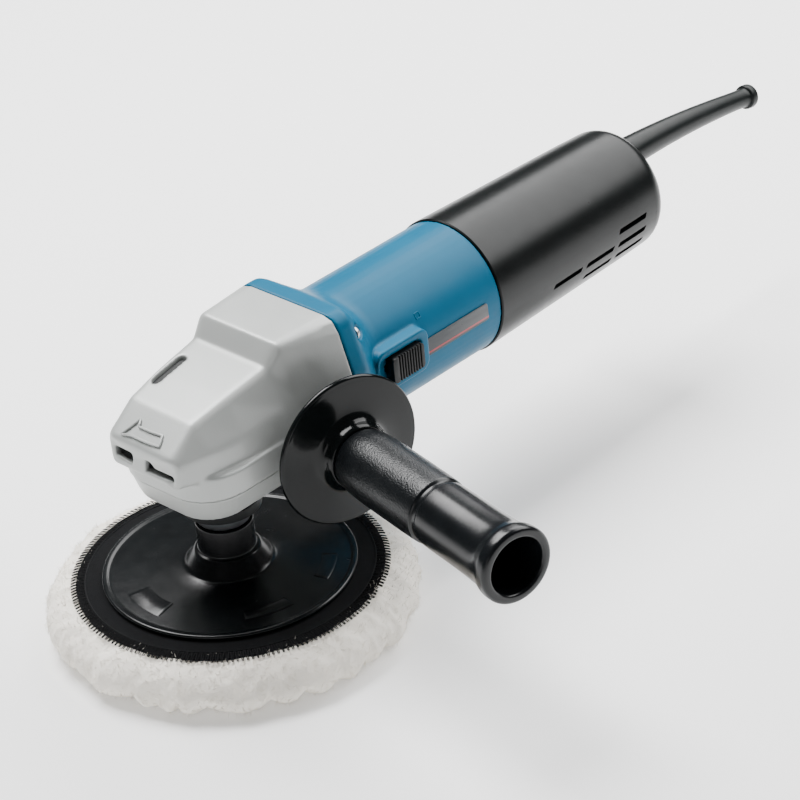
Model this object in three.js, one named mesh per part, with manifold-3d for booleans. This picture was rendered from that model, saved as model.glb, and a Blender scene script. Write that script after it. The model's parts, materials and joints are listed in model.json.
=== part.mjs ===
// Rotary polisher. Millimetres, +Z up.
// The origin is on the spindle axis at the working face of the wool, +Y runs back along the motor,
// and +X is the side with the grip and the slide switch.
import * as THREE from 'three';
import { mergeVertices } from 'three/addons/utils/BufferGeometryUtils.js';
import Module from 'manifold-3d';

const wasm = await Module();
wasm.setup();

// ---------- driving dimensions ----------
const GAP = 0.3;                 // clearance between faces that meet
const MOTOR_Z = 114;             // height of the motor axis
const BARREL_R = 39;             // motor housing outside
const BARREL_WALL = 3;
const FLANGE_Y = 62;             // joint between gear housing and motor housing
const COVER_Y = 181.5;           // joint between motor housing and rear cover
const TAIL_Y = 329;              // rear end of the cover
const TAIL_R = 36.3;
const HOOD_WALL = 3.6;
const SKIRT_BOTTOM = 98;         // underside of the gear housing
const BOX_BOTTOM = 84;           // underside of the bearing box
const WOOL_R = 100.5;
const FABRIC_R = 82.5;
const FABRIC_TOP = 28;
const PAD_R = 68.3;
const HUB_TOP = 59.4;

const RING_TEETH = 33;
const BEVEL_TEETH = 12;
const DRIVE_TEETH = 36;
const MOTOR_TEETH = 9;
const SHAFT_RISE = 20.9;         // countershaft axis above the motor axis
const COUNTER_Z = MOTOR_Z + SHAFT_RISE;
const SPUR_MODULE = (2 * SHAFT_RISE) / (DRIVE_TEETH + MOTOR_TEETH);

const GRIP_YAW = THREE.MathUtils.degToRad(-11.5);
const GRIP_BASE = new THREE.Vector3(43.5, 42.3, 102.8);   // centre of the grip boss face
const GRIP_R = 18.4;
const GRIP_END = 160;            // far end of the grip, from the boss face
const GUARD_R = 41.8;

// Facets round a turned piece, by how large the piece is.
const WIDE = 36;
const ROUND = 24;
const SMALL = 14;
const TINY = 8;

// ---------- materials ----------
function paint(hex, roughness, metalness = 0) {
  return new THREE.MeshStandardMaterial({ color: hex, roughness, metalness });
}
const SILVER_PAINT = paint(0xc4c6c5, 0.45, 0.1);
const BLUE = paint(0x1b7fa6, 0.42);
const GLOSS_BLACK = paint(0x101414, 0.22);
const MATT_BLACK = paint(0x15191a, 0.6);
const RUBBER = paint(0x101213, 0.5);
const STEEL = paint(0x8f9194, 0.35, 0.9);
const DARK_STEEL = paint(0x3b3d40, 0.45, 0.8);
const COPPER = paint(0xa85f32, 0.4, 0.8);
const CARBON = paint(0x26262a, 0.7);
const FABRIC = paint(0x14161b, 0.9);
const WOOL = paint(0xece8dc, 0.95);
const LABEL = paint(0x3a4048, 0.4);

// ---------- geometry helpers ----------
function solidOf(geometry) {
  const bare = geometry.clone();
  bare.deleteAttribute('normal');
  bare.deleteAttribute('uv');
  const merged = mergeVertices(bare, 1e-4);
  return new wasm.Manifold(new wasm.Mesh({
    numProp: 3,
    vertProperties: new Float32Array(merged.attributes.position.array),
    triVerts: new Uint32Array(merged.index.array),
  }));
}

function geometryOf(solid) {
  const mesh = solid.getMesh();
  const geometry = new THREE.BufferGeometry();
  geometry.setAttribute('position', new THREE.BufferAttribute(new Float32Array(mesh.vertProperties), 3));
  geometry.setIndex(new THREE.BufferAttribute(new Uint32Array(mesh.triVerts), 1));
  return geometry;
}

function combine(operation, base, others) {
  let solid = solidOf(base);
  for (const other of others) solid = solid[operation](solidOf(other));
  return geometryOf(solid);
}
const cut = (base, ...others) => combine('subtract', base, others);
const join = (base, ...others) => combine('add', base, others);
const common = (base, ...others) => combine('intersect', base, others);

// A profile is a list of [radius, height]. It rises along the outside, and a bored one comes back down
// inside.
function turned(profile, segments, bored) {
  const points = profile.map(([radius, height]) => new THREE.Vector2(radius, height));
  if (bored) points.push(points[0].clone());
  return new THREE.LatheGeometry(points, segments);
}
function turnedZ(profile, segments = ROUND, bored = false) {
  return turned(profile, segments, bored).rotateX(Math.PI / 2);
}
function turnedY(profile, segments = ROUND, bored = false, z = MOTOR_Z) {
  return turned(profile, segments, bored).translate(0, 0, z);
}

function extrude(shape, depth, curveSegments = 8) {
  return new THREE.ExtrudeGeometry(shape, { depth, bevelEnabled: false, curveSegments });
}
function alongZ(shape, z0, z1, curveSegments) {
  return extrude(shape, z1 - z0, curveSegments).translate(0, 0, z0);
}
function alongY(shape, y0, y1, curveSegments) {
  return extrude(shape, y1 - y0, curveSegments).rotateX(Math.PI / 2).translate(0, y1, 0);
}
const YZ_TO_SHAPE = new THREE.Matrix4().set(0, 0, 1, 0, 1, 0, 0, 0, 0, 1, 0, 0, 0, 0, 0, 1);
function alongX(shape, x0, x1, curveSegments) {
  return extrude(shape, x1 - x0, curveSegments).applyMatrix4(YZ_TO_SHAPE).translate(x0, 0, 0);
}

function block(low, high) {
  const size = high.map((value, axis) => value - low[axis]);
  const centre = high.map((value, axis) => (value + low[axis]) / 2);
  return new THREE.BoxGeometry(...size).translate(...centre);
}

function circle(radius, x = 0, y = 0) {
  const shape = new THREE.Shape();
  shape.absarc(x, y, radius, 0, 2 * Math.PI, false);
  return shape;
}
function capsule(halfLength, radius, x = 0, y = 0) {
  const shape = new THREE.Shape();
  shape.absarc(x, y + halfLength, radius, 0, Math.PI, false);
  shape.absarc(x, y - halfLength, radius, Math.PI, 2 * Math.PI, false);
  shape.closePath();
  return shape;
}
function ringSector(inner, outer, from, to) {
  const shape = new THREE.Shape();
  shape.absarc(0, 0, outer, from, to, false);
  shape.absarc(0, 0, inner, to, from, true);
  shape.closePath();
  return shape;
}
function roundedSquare(halfX, halfY, corner, x = 0, y = 0) {
  const shape = new THREE.Shape();
  shape.absarc(x + halfX - corner, y + halfY - corner, corner, 0, Math.PI / 2, false);
  shape.absarc(x - halfX + corner, y + halfY - corner, corner, Math.PI / 2, Math.PI, false);
  shape.absarc(x - halfX + corner, y - halfY + corner, corner, Math.PI, 1.5 * Math.PI, false);
  shape.absarc(x + halfX - corner, y - halfY + corner, corner, 1.5 * Math.PI, 2 * Math.PI, false);
  shape.closePath();
  return shape;
}

// Skins a stack of rings that all have the same number of points. A looped stack closes on itself,
// and an open one gets a flat fan over each end.
function skin(rings, looped = false) {
  const count = rings[0].length;
  const positions = rings.flat().flatMap((point) => point.toArray());
  const faces = [];
  const stacks = looped ? rings.length : rings.length - 1;
  for (let i = 0; i < stacks; i += 1) {
    const next = (i + 1) % rings.length;
    for (let j = 0; j < count; j += 1) {
      const k = (j + 1) % count;
      const [a, b] = [i * count + j, i * count + k];
      const [c, d] = [next * count + k, next * count + j];
      faces.push(a, b, c, a, c, d);
    }
  }
  if (!looped) {
    for (const [ring, flip] of [[0, true], [rings.length - 1, false]]) {
      const centre = new THREE.Vector3();
      rings[ring].forEach((point) => centre.addScaledVector(point, 1 / count));
      const hub = positions.length / 3;
      positions.push(...centre.toArray());
      for (let j = 0; j < count; j += 1) {
        const [a, b] = [ring * count + j, ring * count + ((j + 1) % count)];
        faces.push(hub, flip ? b : a, flip ? a : b);
      }
    }
  }
  const geometry = new THREE.BufferGeometry();
  geometry.setAttribute('position', new THREE.Float32BufferAttribute(positions, 3));
  geometry.setIndex(faces);
  return geometry;
}

// A closed outline of [x, z] corners, each eased over its own set-back distance.
function easedOutline(corners, steps = 2) {
  const outline = [];
  corners.forEach(([x, z, ease], index) => {
    const corner = new THREE.Vector2(x, z);
    const before = corners[(index + corners.length - 1) % corners.length];
    const after = corners[(index + 1) % corners.length];
    const start = new THREE.Vector2(before[0], before[1]).sub(corner).setLength(ease).add(corner);
    const end = new THREE.Vector2(after[0], after[1]).sub(corner).setLength(ease).add(corner);
    const curve = new THREE.QuadraticBezierCurve(start, corner, end);
    outline.push(...curve.getPoints(steps));
  });
  return outline;
}

const group = new THREE.Group();
function add(name, geometry, material, parent = group) {
  const mesh = new THREE.Mesh(geometry, material);
  mesh.name = name;
  parent.add(mesh);
  return mesh;
}

// ---------- gear housing ----------
// Each station is a six-sided section across the hood: half widths and heights of the top edge,
// the crease and the foot. bow is how far the middle of the section stands forward of its sides, and
// far is how much wider the top is on the -X side, where the lock button is.
const HOOD = [
  { y: -47.6, bow: 4.6, top: [22.5, 125.6], crease: [24.4, 122.5], foot: [23.6, 111.2], far: 1.5, ease: 2.5 },
  { y: -46.4, bow: 4.6, top: [23.6, 127.4], crease: [26.2, 123.8], foot: [25.4, 110], far: 2, ease: 3 },
  { y: -28.5, bow: 2.8, top: [21.9, 139.8], crease: [31.2, 124.6], foot: [31, 108.5], far: 4, ease: 2.4 },
  { y: -7, bow: 2.6, top: [23.4, 144.4], crease: [34, 125.2], foot: [35, 105], far: 4.4, ease: 2.4 },
  { y: 21, bow: 2.4, top: [25.3, 149.6], crease: [35, 126], foot: [38, 99.5], far: 4.4, ease: 3 },
  { y: 28.6, bow: 2.4, top: [27.8, 160.4], crease: [36, 128], foot: [38.6, 98.2], far: 3.4, ease: 4 },
  { y: 38.5, bow: 1.6, top: [30, 160.8], crease: [39, 129], foot: [40.4, 98.2], far: 1.8, ease: 5 },
  { y: 48, bow: 1, top: [32, 161.2], crease: [41.8, 130], foot: [42, 80], far: 0.8, ease: 6 },
  { y: FLANGE_Y, bow: 0, top: [34.4, 161.4], crease: [45.6, 126], foot: [43, 71.5], far: 0, ease: 8 },
];

function hoodCorners({ top, crease, foot, far, ease }, inset = 0) {
  const [topW, topZ] = [top[0] - inset, top[1] - inset];
  const creaseW = crease[0] - inset;
  const [footW, footZ] = [foot[0] - inset, foot[1] + inset];
  return [
    [topW, topZ, ease], [creaseW, crease[1], ease], [footW, footZ, ease],
    [-footW, footZ, ease], [-creaseW, crease[1], ease], [-topW - far, topZ, ease],
  ];
}

function hoodRing(station, inset = 0, y = station.y) {
  const halfWidth = station.crease[0];
  return easedOutline(hoodCorners(station, inset)).map(
    (point) => new THREE.Vector3(point.x, y - station.bow * (1 - (point.x / halfWidth) ** 2), point.y),
  );
}

function hoodSolid() {
  return skin(HOOD.map((station) => hoodRing(station)));
}

function hoodCavity() {
  const inner = HOOD.slice(1).map((station) => hoodRing(station, HOOD_WALL));
  inner[0] = hoodRing(HOOD[1], HOOD_WALL, HOOD[1].y + HOOD_WALL);
  const last = HOOD[HOOD.length - 1];
  inner.push(hoodRing(last, HOOD_WALL, last.y + 5));
  return skin(inner);
}

const LOCK_X = -21.8;            // middle of the lock button
const LOCK_Y = -5;
const LOCK_HALF_LENGTH = 8.6;
const LOCK_PIN_X = LOCK_X - 1.1;
const LOCK_PIN_Y = LOCK_Y - 9.3;
const GRIP_TURN = new THREE.Matrix4()
  .makeRotationZ(GRIP_YAW)
  .setPosition(GRIP_BASE);

function gripAxisTurned(profile, segments, bored = false) {
  return turned(profile, segments, bored).rotateZ(-Math.PI / 2).applyMatrix4(GRIP_TURN);
}

// Everything above a plane that is parallel to the sloping panel and is at height z over the lock button.
const PANEL_SLOPE = Math.atan2(HOOD[4].top[1] - HOOD[2].top[1], HOOD[4].y - HOOD[2].y);
function aboveSlope(z) {
  return block([-20, -40, 0], [20, 40, 30]).rotateX(PANEL_SLOPE).translate(LOCK_X, LOCK_Y, z);
}

const SPARE_BOSS_X = -45.5;
const BOSS_DEPTH = 10;
function gearHousing() {
  const skirt = alongZ(roundedSquare(38, 39, 25, 0, -2), SKIRT_BOTTOM, 112, 5);
  const gripBoss = gripAxisTurned([[0, -BOSS_DEPTH], [14, -BOSS_DEPTH], [14, 0], [0, 0]], 24);
  const spareBoss = turned([[0, 0], [14, 0], [14, BOSS_DEPTH], [0, BOSS_DEPTH]], 24)
    .rotateZ(Math.PI / 2)
    .translate(SPARE_BOSS_X + BOSS_DEPTH, GRIP_BASE.y, GRIP_BASE.z);
  const outer = join(hoodSolid(), skirt, gripBoss, spareBoss);

  const gearWell = turnedZ([[0, SKIRT_BOTTOM - 2], [31, SKIRT_BOTTOM - 2], [31, 124], [0, 124]], ROUND);
  const hollow = cut(outer, hoodCavity(), gearWell);

  const web = block([-33, 27.5, 122.3], [33, 33.5, 158]);
  const topBoss = turnedZ([[0, 131.5], [13.4, 131.5], [13.4, 150], [0, 150]], SMALL);
  const lockBoss = alongZ(capsule(LOCK_HALF_LENGTH + 3, 6, LOCK_X, LOCK_Y), 130.6, 145, 4);
  const inside = common(hoodSolid(), join(web, topBoss));
  const webbed = join(hollow, inside, common(lockBoss, outer));

  const counterBore = turnedY([[0, 20], [10.3, 20], [10.3, 40], [0, 40]], SMALL, false, COUNTER_Z);
  const topBore = turnedZ([[0, 125], [10.3, 125], [10.3, 139.4], [0, 139.4]], SMALL);
  const lockWell = alongZ(capsule(LOCK_HALF_LENGTH + 0.4, 2.9, LOCK_X, LOCK_Y), 133.4, 160, 4);
  const lockHole = alongZ(circle(2.3, LOCK_PIN_X, LOCK_PIN_Y), 120, 138.6, 5);
  const gripHole = gripAxisTurned([[0, -20], [5.8, -20], [5.8, 1], [0, 1]], TINY);
  const spareHole = turned([[0, -1], [5, -1], [5, 30], [0, 30]], TINY)
    .rotateZ(-Math.PI / 2)
    .translate(SPARE_BOSS_X, GRIP_BASE.y, GRIP_BASE.z);
  const bores = [counterBore, topBore, lockWell, lockHole, gripHole, spareHole];
  return cut(webbed, ...bores, ...noseSlots(), ...threadHoles());
}

// Two air outlets in the face of the nose: a plain slot, and one that narrows to the right.
function noseSlots() {
  const left = new THREE.Shape([[-21.5, 115.2], [-8, 114.6], [-8, 120.4], [-21.5, 120.8]].map(vector2));
  const right = new THREE.Shape(
    [[1.5, 113.6], [22, 114.2], [22, 117.2], [8, 117.4], [5, 120.2], [1.5, 120.2]].map(vector2),
  );
  return [left, right].map((shape) => alongY(shape, -60, -36));
}
function vector2([x, y]) {
  return new THREE.Vector2(x, y);
}

// ---------- fasteners ----------
const HOUSING_SCREWS = [[-33.5, 32], [33.5, 32], [-33.5, -32], [33.5, -32]];
const BOX_SCREWS = [[-23.8, -24.4], [23.8, -24.4], [-24.6, 21.4], [24.6, 21.4]];
const SCREW_R = 2.4;
const SCREW_HEAD_R = 3.8;
const SCREW_HEAD = 3.4;

// The head's underside is at 0 and its shank runs up the axis.
function screw(length) {
  const body = turned(
    [
      [0, -SCREW_HEAD], [SCREW_HEAD_R * 0.8, -SCREW_HEAD], [SCREW_HEAD_R, -SCREW_HEAD * 0.6],
      [SCREW_HEAD_R, 0], [SCREW_R, 0], [SCREW_R, length], [0, length],
    ],
    TINY,
  );
  return cut(body, block([-2.6, -SCREW_HEAD - 1, -0.6], [2.6, -SCREW_HEAD + 1.6, 0.6]));
}

const HOUSING_SCREW_SEAT = 74;
function threadHoles() {
  const fromMotor = HOUSING_SCREWS.map(([x, rise]) => {
    const clearance = SCREW_R + GAP;
    const profile = [[0, 49.3], [clearance, 49.3], [clearance, 66], [0, 66]];
    return turnedY(profile, TINY, false, MOTOR_Z + rise).translate(x, 0, 0);
  });
  const fromBelow = BOX_SCREWS.map(([x, y]) => alongZ(circle(SCREW_R + GAP, x, y), 90, 111, 5));
  return [...fromMotor, ...fromBelow];
}

function addFasteners() {
  HOUSING_SCREWS.forEach(([x, rise], index) => {
    const mesh = add(`housing_screw_${index + 1}`, screw(24), STEEL);
    mesh.rotation.x = Math.PI;
    mesh.position.set(x, HOUSING_SCREW_SEAT + GAP, MOTOR_Z + rise);
  });
  BOX_SCREWS.forEach(([x, y], index) => {
    const mesh = add(`bearing_box_screw_${index + 1}`, screw(20), STEEL);
    mesh.rotation.x = Math.PI / 2;
    mesh.position.set(x, y, BOX_BOTTOM + 5 - GAP);
  });
}

// ---------- bearing box and what closes it from below ----------
const SPINDLE_BEARING_R = 20;
function bearingBox() {
  const sizes = [[BOX_BOTTOM, 32.6, 19.6], [BOX_BOTTOM + 4, 34.4, 21.5], [SKIRT_BOTTOM - GAP, 37.4, 24.5]];
  const rings = sizes.map(([z, half, corner]) => roundedSquare(half, half + 0.8, corner, 0, -2)
    .extractPoints(5).shape.map((point) => new THREE.Vector3(point.x, point.y, z)));
  const spigot = turnedZ([[0, 96], [30.6, 96], [30.6, 103], [0, 103]], ROUND);
  const bore = turnedZ(
    [
      [0, 80], [17.2, 80], [17.2, 85.7], [SPINDLE_BEARING_R + GAP, 85.7],
      [SPINDLE_BEARING_R + GAP, 104], [0, 104],
    ],
    ROUND,
  );
  const holes = BOX_SCREWS.flatMap(([x, y]) => [
    alongZ(circle(SCREW_HEAD_R + GAP, x, y), BOX_BOTTOM - 1, BOX_BOTTOM + 5, 5),
    alongZ(circle(SCREW_R + GAP, x, y), BOX_BOTTOM, 104, 5),
  ]);
  return cut(join(skin(rings), spigot), bore, ...holes);
}

function bearing(inner, outer, width) {
  const step = (outer - inner) * 0.3;
  return [
    [inner, 0], [inner + step, 0], [inner + step, 0.7], [outer, 0.7], [outer, width], [inner, width],
  ];
}

function addSpindleBearings() {
  const lower = turnedZ(bearing(8.6, SPINDLE_BEARING_R, 12), SMALL, true);
  add('spindle_bearing_lower', lower, STEEL).position.z = 86;
  const upper = turnedZ(bearing(4.4, 10, 7), SMALL, true);
  add('spindle_bearing_upper', upper, STEEL).position.z = 132;
  const retainer = turnedZ([[17.6, 98.4], [20, 98.4], [20, 102.6], [17.6, 102.6]], SMALL, true);
  add('bearing_retainer', retainer, STEEL);
}

// Rings that close the bearing box round the spindle, from the top down.
function addSealRings() {
  const seal = [[10.2, 75.5], [22, 75.5], [22, BOX_BOTTOM - GAP], [10.2, BOX_BOTTOM - GAP]];
  add('seal_cover', turnedZ(seal, ROUND, true), STEEL);
  const dust = [
    [10.2, 70.6], [14.8, 70.6], [14.8, 68.2], [21.2, 68.2], [21.2, 75.1], [10.2, 75.1],
  ];
  add('dust_ring', turnedZ(dust, ROUND, true), MATT_BLACK);
}

// ---------- gears ----------
// A pattern of [radius, share of one step] points, repeated round a circle.
function repeatedOutline(count, pattern, phase = 0) {
  const step = (2 * Math.PI) / count;
  const points = Array.from({ length: count }, (_, index) => pattern.map(([radius, share]) => {
    const angle = phase + (index + share) * step;
    return new THREE.Vector2(radius * Math.cos(angle), radius * Math.sin(angle));
  }));
  return new THREE.Shape(points.flat());
}

function toothedShape(teeth, module, bore, phase) {
  const pitchRadius = (teeth * module) / 2;
  const [root, tip] = [pitchRadius - 1.1 * module, pitchRadius + 0.8 * module];
  const shape = repeatedOutline(teeth, [[root, -0.3], [tip, -0.11], [tip, 0.11], [root, 0.3]], phase);
  if (bore) shape.holes.push(circle(bore));
  return shape;
}

// One bevel tooth that stands out along +Z and runs out along +Y between two distances from its axis.
// axial(r) gives how far along the gear's own axis the pitch cone lies at that distance.
function bevelTooth(teeth, inner, outer, slope) {
  const ring = (radius) => {
    const pitch = (2 * Math.PI * radius) / teeth;
    const module = pitch / Math.PI;
    const height = -slope * radius;
    const [low, high] = [height - 1.3 * module, height + 0.75 * module];
    return [
      new THREE.Vector3(-0.3 * pitch, radius, low), new THREE.Vector3(-0.11 * pitch, radius, high),
      new THREE.Vector3(0.11 * pitch, radius, high), new THREE.Vector3(0.3 * pitch, radius, low),
    ];
  };
  return skin([ring(inner), ring(outer)]);
}

const RING_INNER_R = 16.6;
const RING_SLOPE = BEVEL_TEETH / RING_TEETH;
const RIM_NOTCHES = 12;

// Teeth face up towards the bevel pinion, and notches in the rim take the lock pin.
function ringGear() {
  const apex = COUNTER_Z;
  const face = (radius) => apex - RING_SLOPE * radius - 1.1 * ((2 * radius) / RING_TEETH);
  const body = turnedZ([
    [8.3, 116], [28.6, 116], [28.6, 120], [24.7, 120], [24.7, face(24.7)], [15.6, face(15.6)], [8.3, 126],
  ], ROUND, true);
  const step = (2 * Math.PI) / RING_TEETH;
  const oneTooth = () => bevelTooth(RING_TEETH, RING_INNER_R, 24.4, RING_SLOPE);
  const teeth = Array.from({ length: RING_TEETH }, (_, tooth) => oneTooth()
    .rotateZ((tooth + 0.5) * step)
    .translate(0, 0, apex));
  const notches = Array.from({ length: RIM_NOTCHES }, (_, index) => block([-2.4, 24.9, 115], [2.4, 30, 121])
    .rotateZ((index * 2 * Math.PI) / RIM_NOTCHES + LOCK_ANGLE));
  return cut(join(body, ...teeth), ...notches);
}
const LOCK_ANGLE = Math.atan2(LOCK_PIN_Y, LOCK_PIN_X) - Math.PI / 2;

// The pinion's cone opens towards +Y from the point where its axis meets the spindle's.
function bevelPinionShaft() {
  const slope = RING_TEETH / BEVEL_TEETH;
  const step = (2 * Math.PI) / BEVEL_TEETH;
  const [inner, outer] = [RING_INNER_R * RING_SLOPE, 24.4 * RING_SLOPE];
  const module = (2 * outer) / BEVEL_TEETH;
  const root = (radius) => radius - 0.85 * ((2 * radius) / BEVEL_TEETH);
  const shaft = turnedY([
    [0, 17], [root(inner), 17], [root(outer), 25], [6.4, 25.6], [6.4, 26.6], [5, 26.6], [5, 60.4], [0, 60.4],
  ], SMALL, false, 0);
  const tooth = () => {
    const ring = (radius) => {
      const pitch = (2 * Math.PI * radius) / BEVEL_TEETH;
      const local = pitch / Math.PI;
      const [low, high] = [radius - 1.1 * local, radius + 0.75 * local];
      const along = radius * slope;
      return [
        new THREE.Vector3(-0.3 * pitch, along, low), new THREE.Vector3(-0.11 * pitch, along, high),
        new THREE.Vector3(0.11 * pitch, along, high), new THREE.Vector3(0.3 * pitch, along, low),
      ];
    };
    return skin([ring(inner), ring(outer)]);
  };
  const teeth = Array.from({ length: BEVEL_TEETH }, (_, index) => tooth().rotateY(index * step));
  return join(shaft, ...teeth).translate(0, 0, COUNTER_Z);
}

function addCountershaft() {
  add('bevel_pinion_shaft', bevelPinionShaft(), DARK_STEEL);
  const phase = -Math.PI / 2 + Math.PI / DRIVE_TEETH;
  const wheel = alongY(toothedShape(DRIVE_TEETH, SPUR_MODULE, 5 + GAP, phase), 36.5, 48, 6);
  add('drive_gear', wheel, DARK_STEEL).position.z = COUNTER_Z;
  const front = turnedY(bearing(5.3, 10, 6), SMALL, true, COUNTER_Z);
  add('countershaft_bearing_front', front, STEEL).position.y = 27.7;
  const rear = turnedY(bearing(5.3, 9.6, 6), SMALL, true, COUNTER_Z);
  add('countershaft_bearing_rear', rear, STEEL).position.y = 52.8;
}

// ---------- spindle and the pad on it ----------
function addSpindle() {
  const spindle = [
    [0, 36], [7.6, 36], [7.6, 58.5], [12, 58.5], [12, 63.6], [9.8, 63.6],
    [9.8, 85], [8.3, 85], [8.3, 104], [9.5, 104],
    [9.5, 115.6], [8, 115.6], [8, 128.2], [4.1, 128.2], [4.1, 139], [0, 139],
  ];
  add('spindle', turnedZ(spindle, SMALL), STEEL);
  add('ring_gear', ringGear(), DARK_STEEL);
  const collar = [[12.3, 60.2], [14.3, 60.2], [14.3, 70.2], [12.3, 70.2]];
  add('spindle_collar', turnedZ(collar, ROUND, true), DARK_STEEL);
}

function addPad() {
  const insert = [[8.6, 36], [11.6, 36], [11.6, 55], [8.6, 55]];
  add('pad_insert', turnedZ(insert, TINY, true), STEEL);
  const pad = [
    [0, FABRIC_TOP + GAP], [PAD_R, FABRIC_TOP + GAP], [PAD_R, 31.2], [PAD_R - 3, 30.4], [26, 33.2],
    [23, 34.4], [17.6, 42.2], [15.5, 43.4], [15.5, HUB_TOP], [12.8, HUB_TOP], [12.8, 35.2], [0, 35.2],
  ];
  const bored = turnedZ(pad, WIDE);
  add('backing_pad', bored, RUBBER);
  const fabric = [[0, FABRIC_TOP - 3], [FABRIC_R, FABRIC_TOP - 3], [FABRIC_R, FABRIC_TOP], [0, FABRIC_TOP]];
  add('bonnet_fabric', turnedZ(fabric, WIDE), FABRIC);
  const wool = [
    [0, 0], [WOOL_R - 13, 0], [WOOL_R - 5, 2.2], [WOOL_R - 1, 7], [WOOL_R, 12],
    [WOOL_R - 1.6, 17.5], [WOOL_R - 6, 22],
    [WOOL_R - 13, FABRIC_TOP - 3 - GAP], [0, FABRIC_TOP - 3 - GAP],
  ];
  add('wool_pile', turnedZ(wool, WIDE), WOOL);
}

// ---------- motor housing ----------
function flangeOutline() {
  return easedOutline(hoodCorners(HOOD[HOOD.length - 1]));
}

// Section between the flange's outline (0) and a circle (1).
function housingRing(y, roundness, radius) {
  return flangeOutline().map((point) => {
    const around = point.clone().sub(new THREE.Vector2(0, MOTOR_Z));
    const circled = around.clone().setLength(radius);
    const mixed = around.lerp(circled, roundness);
    return new THREE.Vector3(mixed.x, y, mixed.y + MOTOR_Z);
  });
}

const SWITCH_Y = 102;            // middle of the thumb piece when off
const SWITCH_Z = 119;
function motorHousing() {
  const flange = skin([
    housingRing(FLANGE_Y + GAP, 0, BARREL_R),
    housingRing(72, 0.02, BARREL_R),
    housingRing(76, 0.25, BARREL_R),
    housingRing(81, 0.65, BARREL_R), housingRing(87, 0.93, BARREL_R), housingRing(94, 1, BARREL_R - 0.5),
  ]);
  const barrel = turnedY([[0, 66], [BARREL_R, 66], [BARREL_R, COVER_Y], [0, COVER_Y]], WIDE);
  const switchPad = alongX(roundedSquare(19.5, 12.5, 6, 101, SWITCH_Z + 0.5), 30, 42.6, 4);
  const bore = turnedY([
    [0, 60], [34, 60], [34, 66], [BARREL_R - BARREL_WALL, 66], [BARREL_R - BARREL_WALL, 190], [0, 190],
  ], WIDE);
  const well = alongX(roundedSquare(15.6, 8.2, 3, 99.4, SWITCH_Z), 39, 50, 4);
  const slot = block([30, 90, SWITCH_Z - 2.6], [45, 110, SWITCH_Z + 2.6]);
  const pockets = HOUSING_SCREWS.flatMap(([x, rise]) => {
    const shank = SCREW_R + GAP;
    const head = SCREW_HEAD_R + GAP;
    const profile = [
      [0, 60], [shank, 60], [shank, HOUSING_SCREW_SEAT], [head, HOUSING_SCREW_SEAT], [head, 100], [0, 100],
    ];
    return turnedY(profile, TINY + 2, false, MOTOR_Z + rise).translate(x, 0, 0);
  });
  return cut(join(flange, barrel, switchPad), bore, well, slot, ...pockets);
}

function labelPlate() {
  const [low, high] = [-3.4, 10.6].map(THREE.MathUtils.degToRad);
  const arc = ringSector(BARREL_R + GAP, BARREL_R + 1, low, high);
  return alongY(arc, 121, 170.5, 6).translate(0, 0, MOTOR_Z);
}

// ---------- slide switch ----------
function switchButton() {
  const outline = roundedSquare(12, 7.4, 2.4, SWITCH_Y, SWITCH_Z);
  const cap = alongX(outline, 39.4, 45.4, 4);
  const foot = block([34.9, SWITCH_Y - 5, SWITCH_Z - 2], [39.8, SWITCH_Y + 5, SWITCH_Z + 2]);
  const grooves = [-7.5, -4.5, -1.5, 1.5, 4.5, 7.5].map(
    (offset) => block(
      [44.6, SWITCH_Y + offset - 0.5, SWITCH_Z - 9],
      [47, SWITCH_Y + offset + 0.5, SWITCH_Z + 9],
    ),
  );
  return cut(join(cap, foot), ...grooves);
}

const ROD_X = 33;
const ROD_REAR = 210;
function switchRod() {
  const strip = block([ROD_X, SWITCH_Y - 8, SWITCH_Z - 3.5], [ROD_X + 1.5, ROD_REAR, SWITCH_Z + 3.5]);
  const tab = block([14, ROD_REAR - 2, SWITCH_Z - 3.5], [ROD_X + 0.5, ROD_REAR, SWITCH_Z + 3.5]);
  return join(strip, tab);
}

function addSwitch() {
  add('switch_button', switchButton(), MATT_BLACK);
  add('switch_rod', switchRod(), MATT_BLACK);
  const body = roundedSquare(11, 16, 2, 8, MOTOR_Z);
  const lever = block([12, ROD_REAR + 0.6, SWITCH_Z - 2], [18, 214, SWITCH_Z + 2]);
  add('switch_unit', join(alongY(body, 213, 258, 3), lever), MATT_BLACK);
}

// ---------- motor ----------
const CORE_R = 22.6;
const STATOR_R = 35.2;
const STATOR = [94, 150];
const WINDOW = THREE.MathUtils.degToRad(40);

function statorCore() {
  const plate = circle(STATOR_R);
  plate.holes.push(circle(CORE_R + 0.8));
  const windows = [0, Math.PI].map(
    (side) => {
      const sector = ringSector(CORE_R - 2, 31, side - WINDOW, side + WINDOW);
      return alongY(sector, STATOR[0] - 1, STATOR[1] + 1, 8);
    },
  );
  const flats = [-1, 1].map((side) => block(
    [side > 0 ? 32.4 : -40, STATOR[0] - 1, -15], [side > 0 ? 40 : -32.4, STATOR[1] + 1, 15],
  ));
  return cut(alongY(plate, STATOR[0], STATOR[1], 24), ...windows, ...flats).translate(0, 0, MOTOR_Z);
}

// A coil fills its half of both windows and passes over its pole at each end.
function fieldCoil(side) {
  const [from, to] = [THREE.MathUtils.degToRad(4), THREE.MathUtils.degToRad(176)];
  const loop = alongY(ringSector(CORE_R + 1.6, 30.4, from, to), STATOR[0] - 6, STATOR[1] + 6, 8);
  const pole = alongY(
    ringSector(CORE_R - 2, 40, WINDOW - 0.04, Math.PI - WINDOW + 0.04), STATOR[0] - GAP, STATOR[1] + GAP, 8,
  );
  const coil = cut(loop, pole);
  if (side < 0) coil.rotateY(Math.PI);
  return coil.translate(0, 0, MOTOR_Z);
}

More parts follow.
